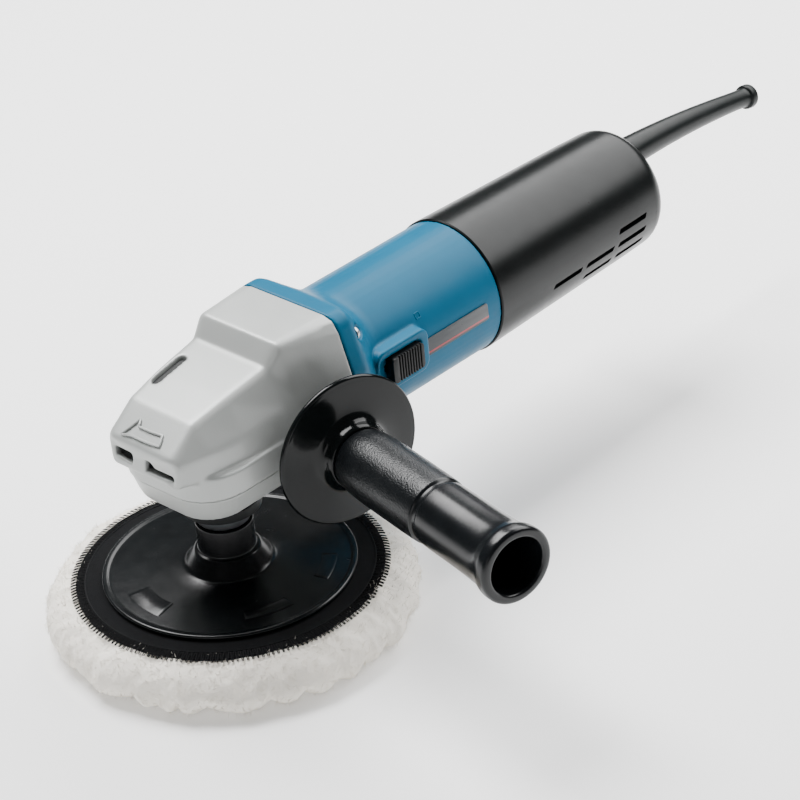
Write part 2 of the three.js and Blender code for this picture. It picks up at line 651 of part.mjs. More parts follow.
function armatureShaft() {
  const shaft = turnedY([
    [0, 33], [2.6, 33], [2.6, 50], [5, 50.4], [5, 65.6], [6, 65.6], [6, 183], [4, 183.4], [4, 197], [0, 197],
  ], TINY + 2, false, 0);
  const phase = Math.PI / 2;
  const pinion = alongY(toothedShape(MOTOR_TEETH, SPUR_MODULE, 0, phase), 34, 49.5, 4);
  return join(shaft, pinion).translate(0, 0, MOTOR_Z);
}

function armatureCore() {
  const shape = repeatedOutline(12, [[CORE_R, -0.42], [CORE_R + 0.1, 0], [CORE_R, 0.42], [CORE_R - 3, 0.5]]);
  shape.holes.push(circle(6 + GAP));
  return alongY(shape, 97, 147, 8).translate(0, 0, MOTOR_Z);
}

function commutator() {
  const shape = repeatedOutline(24, [[15, -0.4], [15, 0.4], [14.4, 0.5]]);
  shape.holes.push(circle(6 + GAP));
  return alongY(shape, 161, 176, 8).translate(0, 0, MOTOR_Z);
}

function coolingFan() {
  const profile = [
    [5.3, 66.5], [12, 66.5], [14, 70], [32.5, 70], [32.5, 71.6], [14, 72], [11, 80], [5.3, 80],
  ];
  const disc = turnedY(profile, SMALL, true, 0);
  const blades = Array.from({ length: 11 }, (_, index) => block([-0.7, 71, 12], [0.7, 79.4, 32])
    .rotateY((index * 2 * Math.PI) / 11));
  return cut(join(disc, ...blades), turnedY([[0, 60], [6.3, 60], [6.3, 90], [0, 90]], SMALL, false, 0))
    .translate(0, 0, MOTOR_Z);
}

function addMotor() {
  add('field_core', statorCore(), DARK_STEEL);
  add('field_coil_upper', fieldCoil(1), COPPER);
  add('field_coil_lower', fieldCoil(-1), COPPER);
  add('armature_shaft', armatureShaft(), STEEL);
  add('armature_core', armatureCore(), DARK_STEEL);
  add('commutator', commutator(), COPPER);
  add('cooling_fan', coolingFan(), MATT_BLACK);
  const front = turnedY(bearing(5.3, 11, 7), SMALL, true);
  add('armature_bearing_front', front, STEEL).position.y = 53;
  const rear = turnedY(bearing(4.3, 9.5, 7), SMALL, true);
  add('armature_bearing_rear', rear, STEEL).position.y = 187.5;
  const baffle = turnedY([[25, 84], [35.4, 84], [35.4, 86.4], [25, 86.4]], ROUND, true);
  add('air_baffle', baffle, MATT_BLACK);
}

// Bulkhead behind the gears: it carries the front motor bearing and the rear countershaft bearing.
function gearPlate() {
  const station = { ...HOOD[HOOD.length - 1], foot: [43, 78] };
  const outline = (y) => hoodRing(station, HOOD_WALL + 3, y);
  const plate = skin([outline(50.5), outline(61.5)]);
  const motorBore = turnedY([[0, 45], [8, 45], [8, 52.7], [11.3, 52.7], [11.3, 65], [0, 65]], SMALL);
  const seat = [[0, 45], [9.9, 45], [9.9, 59], [6, 59], [6, 65], [0, 65]];
  const counterBore = turnedY(seat, SMALL, false, COUNTER_Z);
  return cut(plate, motorBore, counterBore, ...threadHoles().slice(0, 4));
}

const COVER_SCREW_Y = 193.2;
const COVER_SCREW_SEAT = MOTOR_Z - 38;
function bearingBracket() {
  const body = turnedY([
    [9.8, 186.5], [13, 186.5], [13, 191], [35.2, 191], [35.2, 195.5], [9.8, 195.5],
  ], ROUND, true, 0);
  const notch = block([ROD_X - 1, 180, SWITCH_Z - MOTOR_Z - 5], [40, 200, SWITCH_Z - MOTOR_Z + 5]);
  const airways = [30, 150, 210, 330].map((degrees) => alongY(circle(5.5, 24, 0), 180, 200, 3)
    .rotateY(THREE.MathUtils.degToRad(degrees + 25)));
  const screwHole = alongZ(circle(2.8, 0, COVER_SCREW_Y), -45, -30, 5);
  return cut(body, notch, screwHole, ...airways).translate(0, 0, MOTOR_Z);
}

function addBrushes() {
  for (const [suffix, side] of [['near', 1], ['far', -1]]) {
    const turn = side > 0 ? 0 : Math.PI;
    const sleeve = cut(
      block([18, 161.5, -5.5], [31.5, 175.5, 5.5]),
      block([17, 164.4, -3.4], [30, 172.6, 3.4]),
    );
    const holder = add(`brush_holder_${suffix}`, sleeve, COPPER);
    holder.rotation.y = turn;
    holder.position.z = MOTOR_Z;
    const carbon = add(`carbon_brush_${suffix}`, block([15.5, 164.8, -3], [28, 172.2, 3]), CARBON);
    carbon.rotation.y = turn;
    carbon.position.z = MOTOR_Z;
  }
}

// ---------- rear cover ----------
const COVER_WALL = 3;
const LIP_R = BARREL_R + 0.9;
function coverRadius(y) {
  return THREE.MathUtils.mapLinear(y, COVER_Y, TAIL_Y, LIP_R, TAIL_R);
}

function coverProfile(inset) {
  const corner = 10;
  const end = TAIL_Y - inset;
  const radius = coverRadius(TAIL_Y) - inset;
  return Array.from({ length: 5 }, (_, step) => {
    const angle = (step / 4) * (Math.PI / 2);
    return [radius - corner + corner * Math.cos(angle), end - corner + corner * Math.sin(angle)];
  });
}

const SLOT_PITCH = 28.6;
const SLOT_ROWS = [[0, 1, 2], [1, 2], [1]];   // rows of slots in each column, from the tail forward
function ventSlots() {
  return [1, -1].flatMap((side) => SLOT_ROWS.flatMap((rows, column) => rows.map((row) => {
    const turn = THREE.MathUtils.degToRad(1 + row * 13.5);
    const span = side > 0 ? [24, 48] : [-48, -24];
    return alongX(slantedSlot(25.5, 3.3), ...span)
      .rotateY(side * turn)
      .translate(0, 296 - column * SLOT_PITCH, MOTOR_Z);
  })));
}

// Outline of one slot in the Y-Z plane, with slanted ends.
function slantedSlot(length, height) {
  const [halfLength, halfHeight] = [length / 2, height / 2];
  const slant = 1.2;
  return new THREE.Shape([
    [-halfLength, -halfHeight], [halfLength - slant, -halfHeight], [halfLength, halfHeight],
    [-halfLength + slant, halfHeight],
  ].map(vector2));
}

const CORD_Z = 130;              // where the cord guard leaves the tail
const GUARD_SEAT_R = 10;
function rearCover() {
  const outer = turnedY([[0, COVER_Y + GAP], [LIP_R, COVER_Y + GAP], ...coverProfile(0), [0, TAIL_Y]], WIDE);
  const inner = turnedY(
    [
      [0, COVER_Y - 2], [LIP_R - COVER_WALL, COVER_Y - 2],
      ...coverProfile(COVER_WALL), [0, TAIL_Y - COVER_WALL],
    ],
    WIDE,
  );
  const seat = turnedY([[0, 318], [GUARD_SEAT_R, 318], [GUARD_SEAT_R, 340], [0, 340]], SMALL, false, CORD_Z);
  const screwHole = alongZ(circle(2.8, 0, COVER_SCREW_Y), 70, 90, 5);
  const screwSeat = alongZ(circle(4.8, 0, COVER_SCREW_Y), 70, COVER_SCREW_SEAT, 6);
  return cut(outer, inner, seat, screwHole, screwSeat, ...ventSlots());
}

// ---------- cord guard ----------
// A boot that leaves the tail level and droops a little, with a bead seated in the tail,
// a taper, and a flared rim round an open bore.
const GUARD_PATH = new THREE.QuadraticBezierCurve3(
  new THREE.Vector3(0, 319.5, CORD_Z),
  new THREE.Vector3(0, 375, CORD_Z + 1.9),
  new THREE.Vector3(0, 451, CORD_Z - 9.8),
);
function guardRings(profile, segments = 14) {
  return profile.map(([share, radius]) => {
    const centre = GUARD_PATH.getPoint(share);
    const tangent = GUARD_PATH.getTangent(share);
    const up = new THREE.Vector3(1, 0, 0).cross(tangent);
    return Array.from({ length: segments }, (_, index) => {
      const angle = (index * 2 * Math.PI) / segments;
      return centre.clone()
        .addScaledVector(up, radius * Math.cos(angle))
        .addScaledVector(new THREE.Vector3(1, 0, 0), radius * Math.sin(angle));
    });
  });
}
function cordGuard() {
  const outside = [
    [0, 11.4], [0.035, 11.4], [0.036, 9.6], [0.1, 9.4], [0.3, 8.4], [0.5, 7.5], [0.7, 6.6],
    [0.86, 5.9], [0.962, 5.7], [0.966, 7.3], [0.994, 7.3], [1, 6.9],
  ];
  const bore = [[1, 3.9], [0.7, 3.9], [0.35, 3.9], [0, 3.9]];
  return skin(guardRings([...outside, ...bore]), true);
}

function addTail() {
  add('rear_cover', rearCover(), GLOSS_BLACK);
  add('cord_guard', cordGuard(), RUBBER);
  const coverScrew = add('rear_cover_screw', screw(6), STEEL);
  coverScrew.rotation.x = Math.PI / 2;
  coverScrew.position.set(0, COVER_SCREW_Y, COVER_SCREW_SEAT - GAP);
  const clampBody = cut(
    block([-15, 300, CORD_Z - 13], [15, 312, CORD_Z - 6.2]),
    alongZ(circle(2, -11, 306), 110, 130, 5),
    alongZ(circle(2, 11, 306), 110, 130, 5),
  );
  add('cord_clamp', clampBody, MATT_BLACK);
  for (const [index, x] of [[1, -11], [2, 11]]) {
    const clampScrew = add(`cord_clamp_screw_${index}`, smallScrew(), STEEL);
    clampScrew.position.set(x, 306, CORD_Z - 6.2 + GAP);
  }
  const filter = roundedSquare(9, 9, 2, -6, MOTOR_Z - 12);
  add('noise_filter', alongY(filter, 266, 290, 3), MATT_BLACK);
}

function smallScrew() {
  const body = turnedZ([[0, -8], [1.6, -8], [1.6, 0], [3, 0], [3, 1.2], [2.2, 2.2], [0, 2.2]], TINY);
  return cut(body, block([-0.4, -2.2, 1.2], [0.4, 2.2, 3]));
}

// ---------- side grip ----------
function addGrip() {
  const side = new THREE.Group();
  side.position.copy(GRIP_BASE);
  side.rotation.z = GRIP_YAW;
  group.add(side);
  const turnedGrip = (profile, segments, bored) => turned(profile, segments, bored).rotateZ(-Math.PI / 2);
  const stud = [[0, -14], [5, -14], [5, 40], [0, 40]];
  add('grip_stud', turnedGrip(stud, TINY, false), STEEL, side);
  const guard = [
    [5.3, GAP], [13, GAP], [13, 8], [15, 12], [24, 15.2], [38, 14.4], [GUARD_R, 14],
    [GUARD_R, 16.6], [38, 17.4], [19, 20.6], [17.4, 26.6], [16.4, 26.6], [16.2, 19.6], [5.3, 19.6],
  ];
  add('grip_guard', turnedGrip(guard, WIDE, true), GLOSS_BLACK, side);
  const grip = [
    [5.3, 20], [15.7, 20], [15.9, 27], [17.6, 29.4], [GRIP_R, 36], [GRIP_R, 94], [GRIP_R - 1.3, 95.5],
    [GRIP_R - 1.3, 98], [GRIP_R, 99.5], [GRIP_R, 148], [20.8, 153], [20.8, GRIP_END],
    [15.4, GRIP_END], [14.6, 60], [5.3, 60],
  ];
  add('side_grip', turnedGrip(grip, ROUND, true), MATT_BLACK, side);
}

// ---------- shaft lock ----------
function addShaftLock() {
  const cap = cut(alongZ(capsule(LOCK_HALF_LENGTH, 2.5, LOCK_X, LOCK_Y), 138, 155, 4), aboveSlope(143.4));
  add('lock_button', cap, MATT_BLACK);
  const pin = turnedZ([[0, 121], [1.9, 121], [1.9, 137.7], [0, 137.7]], TINY)
    .translate(LOCK_PIN_X, LOCK_PIN_Y, 0);
  add('lock_pin', pin, STEEL);
}

// ---------- assembly ----------
add('gear_housing', gearHousing(), SILVER_PAINT);
add('bearing_box', bearingBox(), SILVER_PAINT);
addSpindleBearings();
addSealRings();
addSpindle();
addPad();
addCountershaft();
add('gear_plate', gearPlate(), STEEL);
addMotor();
add('bearing_bracket', bearingBracket(), MATT_BLACK);
addBrushes();
add('motor_housing', motorHousing(), BLUE);
add('label_plate', labelPlate(), LABEL);
addSwitch();
addTail();
addGrip();
addShaftLock();
addFasteners();

export default group;
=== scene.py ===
import json
import math
import random

import bmesh
import bpy
from mathutils import Matrix, Vector, noise


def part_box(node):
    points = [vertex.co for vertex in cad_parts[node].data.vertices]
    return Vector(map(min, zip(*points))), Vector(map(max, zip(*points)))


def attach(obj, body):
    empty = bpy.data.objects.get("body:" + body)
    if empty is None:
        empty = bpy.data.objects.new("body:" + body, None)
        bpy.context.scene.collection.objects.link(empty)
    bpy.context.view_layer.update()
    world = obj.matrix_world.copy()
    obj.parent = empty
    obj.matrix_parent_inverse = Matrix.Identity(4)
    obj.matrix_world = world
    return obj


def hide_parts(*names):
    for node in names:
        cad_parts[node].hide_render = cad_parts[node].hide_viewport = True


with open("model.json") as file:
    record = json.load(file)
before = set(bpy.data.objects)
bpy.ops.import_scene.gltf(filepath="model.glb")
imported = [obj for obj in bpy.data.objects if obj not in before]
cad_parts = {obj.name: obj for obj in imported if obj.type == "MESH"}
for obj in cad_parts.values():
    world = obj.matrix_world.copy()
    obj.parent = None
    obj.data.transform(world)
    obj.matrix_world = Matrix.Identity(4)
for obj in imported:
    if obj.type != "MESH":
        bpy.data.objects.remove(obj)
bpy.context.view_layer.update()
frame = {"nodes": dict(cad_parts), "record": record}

scene = bpy.context.scene
nodes = frame["nodes"]
MM = 0.001

# ---------- dimensions shared with the CAD, in mm ----------
MOTOR_Z = 114
BARREL_R = 39
BARREL_WALL = 3
FLANGE_Y = 62.3
COVER_Y = 181.5
TAIL_Y = 329
TAIL_R = 36.3
LIP_R = 39.9
CORD_Z = 130
COVER_SCREW_Y = 193.2
GRIP_YAW = math.radians(-11.5)
GRIP_BASE = Vector((43.5, 42.3, 102.8))
SWITCH_Y, SWITCH_Z = 102, 119
LOCK_X, LOCK_Y, LOCK_HALF_LENGTH = -21.8, -5, 8.6
HUB_R, HUB_BORE, HUB_FLOOR, HUB_TOP = 15.5, 12.8, 35.2, 59.4
FABRIC_R = 82.5
WOOL_R = 100.5

# ---------- relief of the finishes, in m ----------
GRAIN_DEPTH = 0.0003
RELIEF_DEPTH = 0.0004

# ---------- frames in which shapes are drawn ----------
SPINDLE = Matrix.Identity(4)
LYING = Matrix.Rotation(-math.pi / 2, 4, "X")   # its z runs back along the tool
SIDEWAYS = Matrix(((0, 0, 1, 0), (1, 0, 0, 0), (0, 1, 0, 0), (0, 0, 0, 1)))   # its z is the tool's x
MOTOR = Matrix.Translation((0, 0, MOTOR_Z)) @ LYING
GRIP = (Matrix.Translation(GRIP_BASE) @ Matrix.Rotation(GRIP_YAW, 4, "Z")
        @ Matrix.Rotation(math.pi / 2, 4, "Y"))


# ---------- materials ----------
def scaled(colour, factor):
    return tuple(min(1.0, c * factor) for c in colour) + (1.0,)


def surface(name, colour, rough, metallic=0.0, coat=0.0, sheen=0.0, tone=(40, 0.06),
            grain=(1500, 0.08), rough_spread=0.06, specular=0.5, edge=0.0, pebble=None):
    """A finish with a slow drift of tone, a fine grain in the bump and uneven roughness."""
    material = bpy.data.materials.new(name)
    material.use_nodes = True
    tree = material.node_tree
    shader = tree.nodes["Principled BSDF"]
    shader.inputs["Metallic"].default_value = metallic
    shader.inputs["Coat Weight"].default_value = coat
    shader.inputs["Coat Roughness"].default_value = 0.12
    shader.inputs["Sheen Weight"].default_value = sheen
    shader.inputs["Specular IOR Level"].default_value = specular
    place = tree.nodes.new("ShaderNodeTexCoord").outputs["Object"]

    def noise_field(scale, detail=2.0):
        node = tree.nodes.new("ShaderNodeTexNoise")
        node.inputs["Scale"].default_value = scale
        node.inputs["Detail"].default_value = detail
        tree.links.new(place, node.inputs["Vector"])
        return node.outputs["Fac"]

    def ramp(source, low, high, first, last):
        node = tree.nodes.new("ShaderNodeValToRGB")
        node.color_ramp.elements[0].position = low
        node.color_ramp.elements[1].position = high
        node.color_ramp.elements[0].color = first
        node.color_ramp.elements[1].color = last
        tree.links.new(source, node.inputs["Fac"])
        return node.outputs["Color"]

    drift = noise_field(tone[0], 4)
    base = ramp(drift, 0.3, 0.7, scaled(colour, 1 - tone[1]), scaled(colour, 1 + tone[1]))
    if edge:
        worn = ramp(tree.nodes.new("ShaderNodeNewGeometry").outputs["Pointiness"], 0.52, 0.62,
                    (0, 0, 0, 1), (edge, edge, edge, 1))
        mix = tree.nodes.new("ShaderNodeMix")
        mix.data_type = "RGBA"
        tree.links.new(worn, mix.inputs["Factor"])
        tree.links.new(base, mix.inputs["A"])
        mix.inputs["B"].default_value = scaled(colour, 1.5)
        base = mix.outputs["Result"]
    tree.links.new(base, shader.inputs["Base Color"])

    spread = tree.nodes.new("ShaderNodeMapRange")
    spread.inputs["To Min"].default_value = max(0.02, rough - rough_spread)
    spread.inputs["To Max"].default_value = min(1.0, rough + rough_spread)
    tree.links.new(noise_field(tone[0] * 3, 3), spread.inputs["Value"])
    tree.links.new(spread.outputs["Result"], shader.inputs["Roughness"])

    bump = tree.nodes.new("ShaderNodeBump")
    bump.inputs["Strength"].default_value = grain[1]
    bump.inputs["Distance"].default_value = GRAIN_DEPTH
    tree.links.new(noise_field(grain[0], 2), bump.inputs["Height"])
    last = bump
    if pebble:
        cells = tree.nodes.new("ShaderNodeTexVoronoi")
        cells.inputs["Scale"].default_value = pebble[0]
        tree.links.new(place, cells.inputs["Vector"])
        second = tree.nodes.new("ShaderNodeBump")
        second.inputs["Strength"].default_value = pebble[1]
        second.inputs["Distance"].default_value = RELIEF_DEPTH
        second.invert = True
        tree.links.new(cells.outputs["Distance"], second.inputs["Height"])
        tree.links.new(bump.outputs["Normal"], second.inputs["Normal"])
        last = second
    tree.links.new(last.outputs["Normal"], shader.inputs["Normal"])
    return material


def weave(name, colour):
    """Black backing cloth: fine threads that cross, with a little fluff."""
    material = surface(name, colour, 0.86, specular=0.15, sheen=0.02, tone=(120, 0.25),
                       grain=(2600, 0.5))
    tree = material.node_tree
    place = tree.nodes.new("ShaderNodeTexCoord").outputs["Object"]
    first = None
    for direction in ("X", "Y"):
        wave = tree.nodes.new("ShaderNodeTexWave")
        wave.bands_direction = direction
        wave.inputs["Scale"].default_value = 420
        wave.inputs["Distortion"].default_value = 1.2
        tree.links.new(place, wave.inputs["Vector"])
        if first is None:
            first = wave.outputs["Fac"]
            continue
        join = tree.nodes.new("ShaderNodeMath")
        join.operation = "MAXIMUM"
        tree.links.new(first, join.inputs[0])
        tree.links.new(wave.outputs["Fac"], join.inputs[1])
    bump = next(n for n in tree.nodes if n.bl_idname == "ShaderNodeBump")
    woven = tree.nodes.new("ShaderNodeBump")
    woven.inputs["Strength"].default_value = 0.7
    woven.inputs["Distance"].default_value = RELIEF_DEPTH
    tree.links.new(join.outputs[0], woven.inputs["Height"])
    tree.links.new(bump.outputs["Normal"], woven.inputs["Normal"])
    tree.links.new(woven.outputs["Normal"], tree.nodes["Principled BSDF"].inputs["Normal"])
    return material


def label_finish(name, low_z, high_z):
    """A dark label that turns grey towards its upper edge, with a thin red stripe near its lower edge."""
    material = surface(name, (0.02, 0.023, 0.026), 0.3, coat=0.15, tone=(90, 0.03), grain=(3000, 0.03),
                       specular=0.3)
    tree = material.node_tree
    shader = tree.nodes["Principled BSDF"]
    place = tree.nodes.new("ShaderNodeTexCoord").outputs["Object"]
    parts = tree.nodes.new("ShaderNodeSeparateXYZ")
    tree.links.new(place, parts.inputs["Vector"])
    height = tree.nodes.new("ShaderNodeMapRange")
    height.inputs["From Min"].default_value = low_z * MM
    height.inputs["From Max"].default_value = high_z * MM
    tree.links.new(parts.outputs["Z"], height.inputs["Value"])
    bands = tree.nodes.new("ShaderNodeValToRGB")
    stops = bands.color_ramp.elements
    dark, red = (0.014, 0.017, 0.02, 1), (0.3, 0.006, 0.016, 1)
    stops[0].position, stops[0].color = 0.0, dark
    stops[1].position, stops[1].color = 1.0, (0.1, 0.105, 0.11, 1)
    for position, colour in (
        (0.14, dark), (0.16, red), (0.23, red), (0.25, dark), (0.6, (0.032, 0.036, 0.042, 1)),
    ):
        stops.new(position).color = colour
    tree.links.new(height.outputs["Result"], bands.inputs["Fac"])
    tree.links.new(bands.outputs["Color"], shader.inputs["Base Color"])
    return material


SILVER = surface("silver_paint", (0.4, 0.415, 0.405), 0.4, metallic=0.2, coat=0.1, tone=(25, 0.03),
                 grain=(1100, 0.16), edge=0.25)
BLUE = surface("blue_plastic", (0.0, 0.095, 0.18), 0.4, tone=(30, 0.04), grain=(1800, 0.1),
               specular=0.15, edge=0.12)
GLOSS_BLACK = surface("gloss_black_plastic", (0.003, 0.004, 0.0042), 0.12, tone=(50, 0.2),
                      grain=(500, 0.025), rough_spread=0.03, specular=0.2)
SATIN_BLACK = surface("satin_black_plastic", (0.002, 0.003, 0.0031), 0.3, tone=(50, 0.2),
                      grain=(700, 0.04), rough_spread=0.05, specular=0.22)
GRIP_PLASTIC = surface("grip_plastic", (0.004, 0.005, 0.006), 0.3, tone=(60, 0.2),
                       grain=(1500, 0.2), specular=0.3, edge=0.1, pebble=(1100, 0.3))
GRIP_SMOOTH = surface("grip_plastic_smooth", (0.004, 0.005, 0.006), 0.24, tone=(60, 0.2),
                      grain=(700, 0.05), rough_spread=0.04, specular=0.3)
MATT_BLACK = surface("black_plastic", (0.003, 0.004, 0.0045), 0.42, tone=(80, 0.2),
                     grain=(1600, 0.25), specular=0.2)
PAD_RUBBER = surface("pad_rubber", (0.0025, 0.0035, 0.004), 0.25, tone=(45, 0.25),
                     grain=(420, 0.05), rough_spread=0.05, specular=0.3)
GUARD_RUBBER = surface("guard_rubber", (0.003, 0.0048, 0.0048), 0.36, tone=(60, 0.15),
                       grain=(900, 0.08), specular=0.22)
FABRIC = weave("bonnet_fabric", (0.0015, 0.0018, 0.0026))
THREAD = surface("overlock_thread", (0.002, 0.0024, 0.0032), 0.75, sheen=0.03, tone=(700, 0.3),
                 grain=(4200, 0.6), specular=0.2)
WOOL = surface("wool", (0.93, 0.885, 0.8), 0.95, sheen=0.15, tone=(70, 0.04), grain=(1300, 0.9),
               specular=0.2)
STEEL = surface("steel", (0.45, 0.46, 0.47), 0.32, metallic=1.0, tone=(200, 0.08),
                grain=(2500, 0.15))
PLATED = surface("plated_steel", (0.55, 0.55, 0.53), 0.14, metallic=1.0, tone=(90, 0.04),
                 grain=(1500, 0.03), rough_spread=0.04)
DARK_STEEL = surface("gear_steel", (0.07, 0.075, 0.08), 0.36, metallic=0.9, tone=(150, 0.15),
                     grain=(2200, 0.2))
ALUMINIUM = surface("cast_aluminium", (0.5, 0.51, 0.52), 0.5, metallic=0.9, tone=(100, 0.08),
                    grain=(1200, 0.5))
COPPER = surface("copper", (0.5, 0.2, 0.08), 0.35, metallic=0.9, tone=(300, 0.15),
                 grain=(1800, 0.4))
CARBON = surface("carbon", (0.02, 0.02, 0.022), 0.6, tone=(300, 0.2), grain=(2500, 0.4))
LABEL = label_finish("label", low_z=111.6, high_z=121.4)

FINISHES = {
    "silver_paint": SILVER, "blue_plastic": BLUE, "gloss_black_plastic": GLOSS_BLACK,
    "grip_plastic": GRIP_PLASTIC, "black_plastic": MATT_BLACK, "pad_rubber": PAD_RUBBER,
    "guard_rubber": GUARD_RUBBER, "bonnet_fabric": FABRIC, "wool": WOOL, "label": LABEL,
    "steel": STEEL, "plated_steel": PLATED, "gear_steel": DARK_STEEL,
    "cast_aluminium": ALUMINIUM, "copper": COPPER, "carbon": CARBON,
}
for part in frame["record"]["subparts"]:
    target = nodes[part["node"]]
    for slot_index in range(len(target.material_slots)):
        target.material_slots[slot_index].material = FINISHES[part["material_slot"]]


# ---------- points ----------
def full_turn(count):
    """Evenly spaced angles round one turn."""
    return [2 * math.pi * k / count for k in range(count)]


def around(radius, angle, z=0.0):
    """A point round the z axis."""
    return Vector((radius * math.cos(angle), radius * math.sin(angle), z))


def on_barrel(radius, angle, y):
    """A point round the motor's axis."""
    return Vector((radius * math.cos(angle), y, MOTOR_Z + radius * math.sin(angle)))


def ramp_up(value, low, high):
    """0 at low and below, 1 at high and above."""
    return min(1.0, max(0.0, (value - low) / (high - low)))


# ---------- mesh helpers ----------
def new_object(name, mesh):
    obj = bpy.data.objects.new(name, mesh)
    scene.collection.objects.link(obj)
    return obj


def clean(mesh, distance=1e-7):
    work = bmesh.new()
    work.from_mesh(mesh)
    bmesh.ops.remove_doubles(work, verts=work.verts, dist=distance)
    bmesh.ops.dissolve_degenerate(work, edges=work.edges, dist=1e-8)
    bmesh.ops.recalc_face_normals(work, faces=work.faces)
    work.to_mesh(mesh)
    work.free()


def skin(name, rings, looped=False, capped=True):
    """Quads between rings of points in mm. looped joins the last ring to the first."""
    count = len(rings[0])
    points = [Vector(p) * MM for ring in rings for p in ring]
    faces = []
    steps = len(rings) if looped else len(rings) - 1
    for i in range(steps):
        low, high = i * count, ((i + 1) % len(rings)) * count
        for k in range(count):
            nxt = (k + 1) % count
            faces.append((low + k, low + nxt, high + nxt, high + k))
    if capped and not looped:
        faces.append(tuple(reversed(range(count))))
        faces.append(tuple(range((len(rings) - 1) * count, len(rings) * count)))
    mesh = bpy.data.meshes.new(name)
    mesh.from_pydata(points, [], faces)
    clean(mesh)
    return new_object(name, mesh)


def eased(profile, steps=4):
    """A closed or open polyline of (r, z, radius): each corner with a radius is rounded off."""
    out = []
    for i, point in enumerate(profile):
        r, z = point[0], point[1]
        radius = point[2] if len(point) > 2 else 0
        if not radius:
            out.append((r, z))
            continue
        corner = Vector((r, z))
        before = Vector(profile[i - 1][:2]) - corner
        after = Vector(profile[(i + 1) % len(profile)][:2]) - corner
        start = corner + before.normalized() * min(radius, before.length * 0.49)
        end = corner + after.normalized() * min(radius, after.length * 0.49)
        for s in range(steps + 1):
            t = s / steps
            out.append(tuple(start.lerp(corner, t).lerp(corner.lerp(end, t), t)))
    return out


def turned(name, profile, placed, segments=96, looped=False, steps=4):
    """A profile of (r, z, corner radius) turned round an axis."""
    rings = []
    for r, z in eased(profile, steps):
        rings.append([placed @ around(r, a, z) for a in full_turn(segments)])
    return skin(name, rings, looped=looped, capped=False)


def prism(name, outline, low, high, placed=SPINDLE):
    """An outline of (x, y) points between two heights along the placed frame's z."""
    rings = [[placed @ Vector((x, y, z)) for x, y in outline] for z in (low, high)]
    return skin(name, rings)


def rounded_box_outline(half_x, half_y, corner, centre=(0, 0), steps=6):
    points = []
    for quarter, (sx, sy) in enumerate(((1, 1), (-1, 1), (-1, -1), (1, -1))):
        for s in range(steps + 1):
            a = math.pi / 2 * (quarter + s / steps)
            points.append((
                centre[0] + sx * (half_x - corner) + corner * math.cos(a),
                centre[1] + sy * (half_y - corner) + corner * math.sin(a),
            ))
    return points


def apply_modifiers(obj):
    graph = bpy.context.evaluated_depsgraph_get()
    mesh = bpy.data.meshes.new_from_object(obj.evaluated_get(graph))
    old = obj.data
    obj.modifiers.clear()
    obj.data = mesh
    bpy.data.meshes.remove(old)


def merged(name, pieces):
    """One object from several, without any boolean."""
    work = bmesh.new()
    for piece in pieces:
        work.from_mesh(piece.data)
        drop(piece)
    mesh = bpy.data.meshes.new(name)
    work.to_mesh(mesh)
    work.free()
    return new_object(name, mesh)


def drop(obj):
    mesh = obj.data
    bpy.data.objects.remove(obj)
    bpy.data.meshes.remove(mesh)


def combine(obj, other, operation):
    modifier = obj.modifiers.new("shape", "BOOLEAN")
    modifier.object = other
    modifier.operation = operation
    modifier.solver = "EXACT"
    apply_modifiers(obj)
    drop(other)


def soften(obj, voxel, rounds, keep=1.0):
    """Rounds every edge off a little, as casting and moulding do."""
    remesh = obj.modifiers.new("even", "REMESH")
    remesh.mode = "VOXEL"
    remesh.voxel_size = voxel * MM
    smooth = obj.modifiers.new("soft", "SMOOTH")
    smooth.factor = 0.5
    smooth.iterations = rounds
    if keep < 1:
        reduce = obj.modifiers.new("light", "DECIMATE")
        reduce.ratio = keep
    apply_modifiers(obj)


def soften_zone(obj, weight_at, rounds):
    """Smooths where weight_at(x, y, z), with places in mm, is above 0."""
    zone = obj.vertex_groups.new(name="zone")
    for vertex in obj.data.vertices:
        zone.add([vertex.index], weight_at(*(vertex.co / MM)), "REPLACE")
    smooth = obj.modifiers.new("zone", "SMOOTH")
    smooth.factor = 0.5
    smooth.iterations = rounds
    smooth.vertex_group = "zone"
    apply_modifiers(obj)
    obj.vertex_groups.clear()


def bevelled(obj, width, segments, angle):
    modifier = obj.modifiers.new("edge", "BEVEL")
    modifier.width = width * MM
    modifier.segments = segments
    modifier.limit_method = "ANGLE"
    modifier.angle_limit = math.radians(angle)
    apply_modifiers(obj)


def finish(obj, body, material, replaced=(), sharp=35):
    mesh = obj.data
    mesh.shade_smooth()
    mesh.set_sharp_from_angle(angle=math.radians(sharp))
    mesh.materials.clear()
    mesh.materials.append(material)
    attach(obj, body)
    if replaced:
        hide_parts(*replaced)


def copy_of(node, name):
    mesh = nodes[node].data.copy()
    mesh.name = name
    clean(mesh, 2e-6)
    return new_object(name, mesh)


def bead(name, path, radius, sides=8, closed=False):
    """A thin round bead along a path of points in mm."""
    rings = []
    last = len(path) - 1
    for i, point in enumerate(path):
        ahead = path[(i + 1) % len(path)] if closed or i < last else path[i]
        behind = path[i - 1] if closed or i > 0 else path[i]
        along = (ahead - behind).normalized()
        side = along.cross(Vector((0, 0, 1)))
        side = side.normalized() if side.length > 1e-4 else Vector((1, 0, 0))
        up = side.cross(along)
        rings.append([
            point + radius * (math.cos(a) * side + math.sin(a) * up) for a in full_turn(sides)
        ])
    return skin(name, rings, looped=closed)


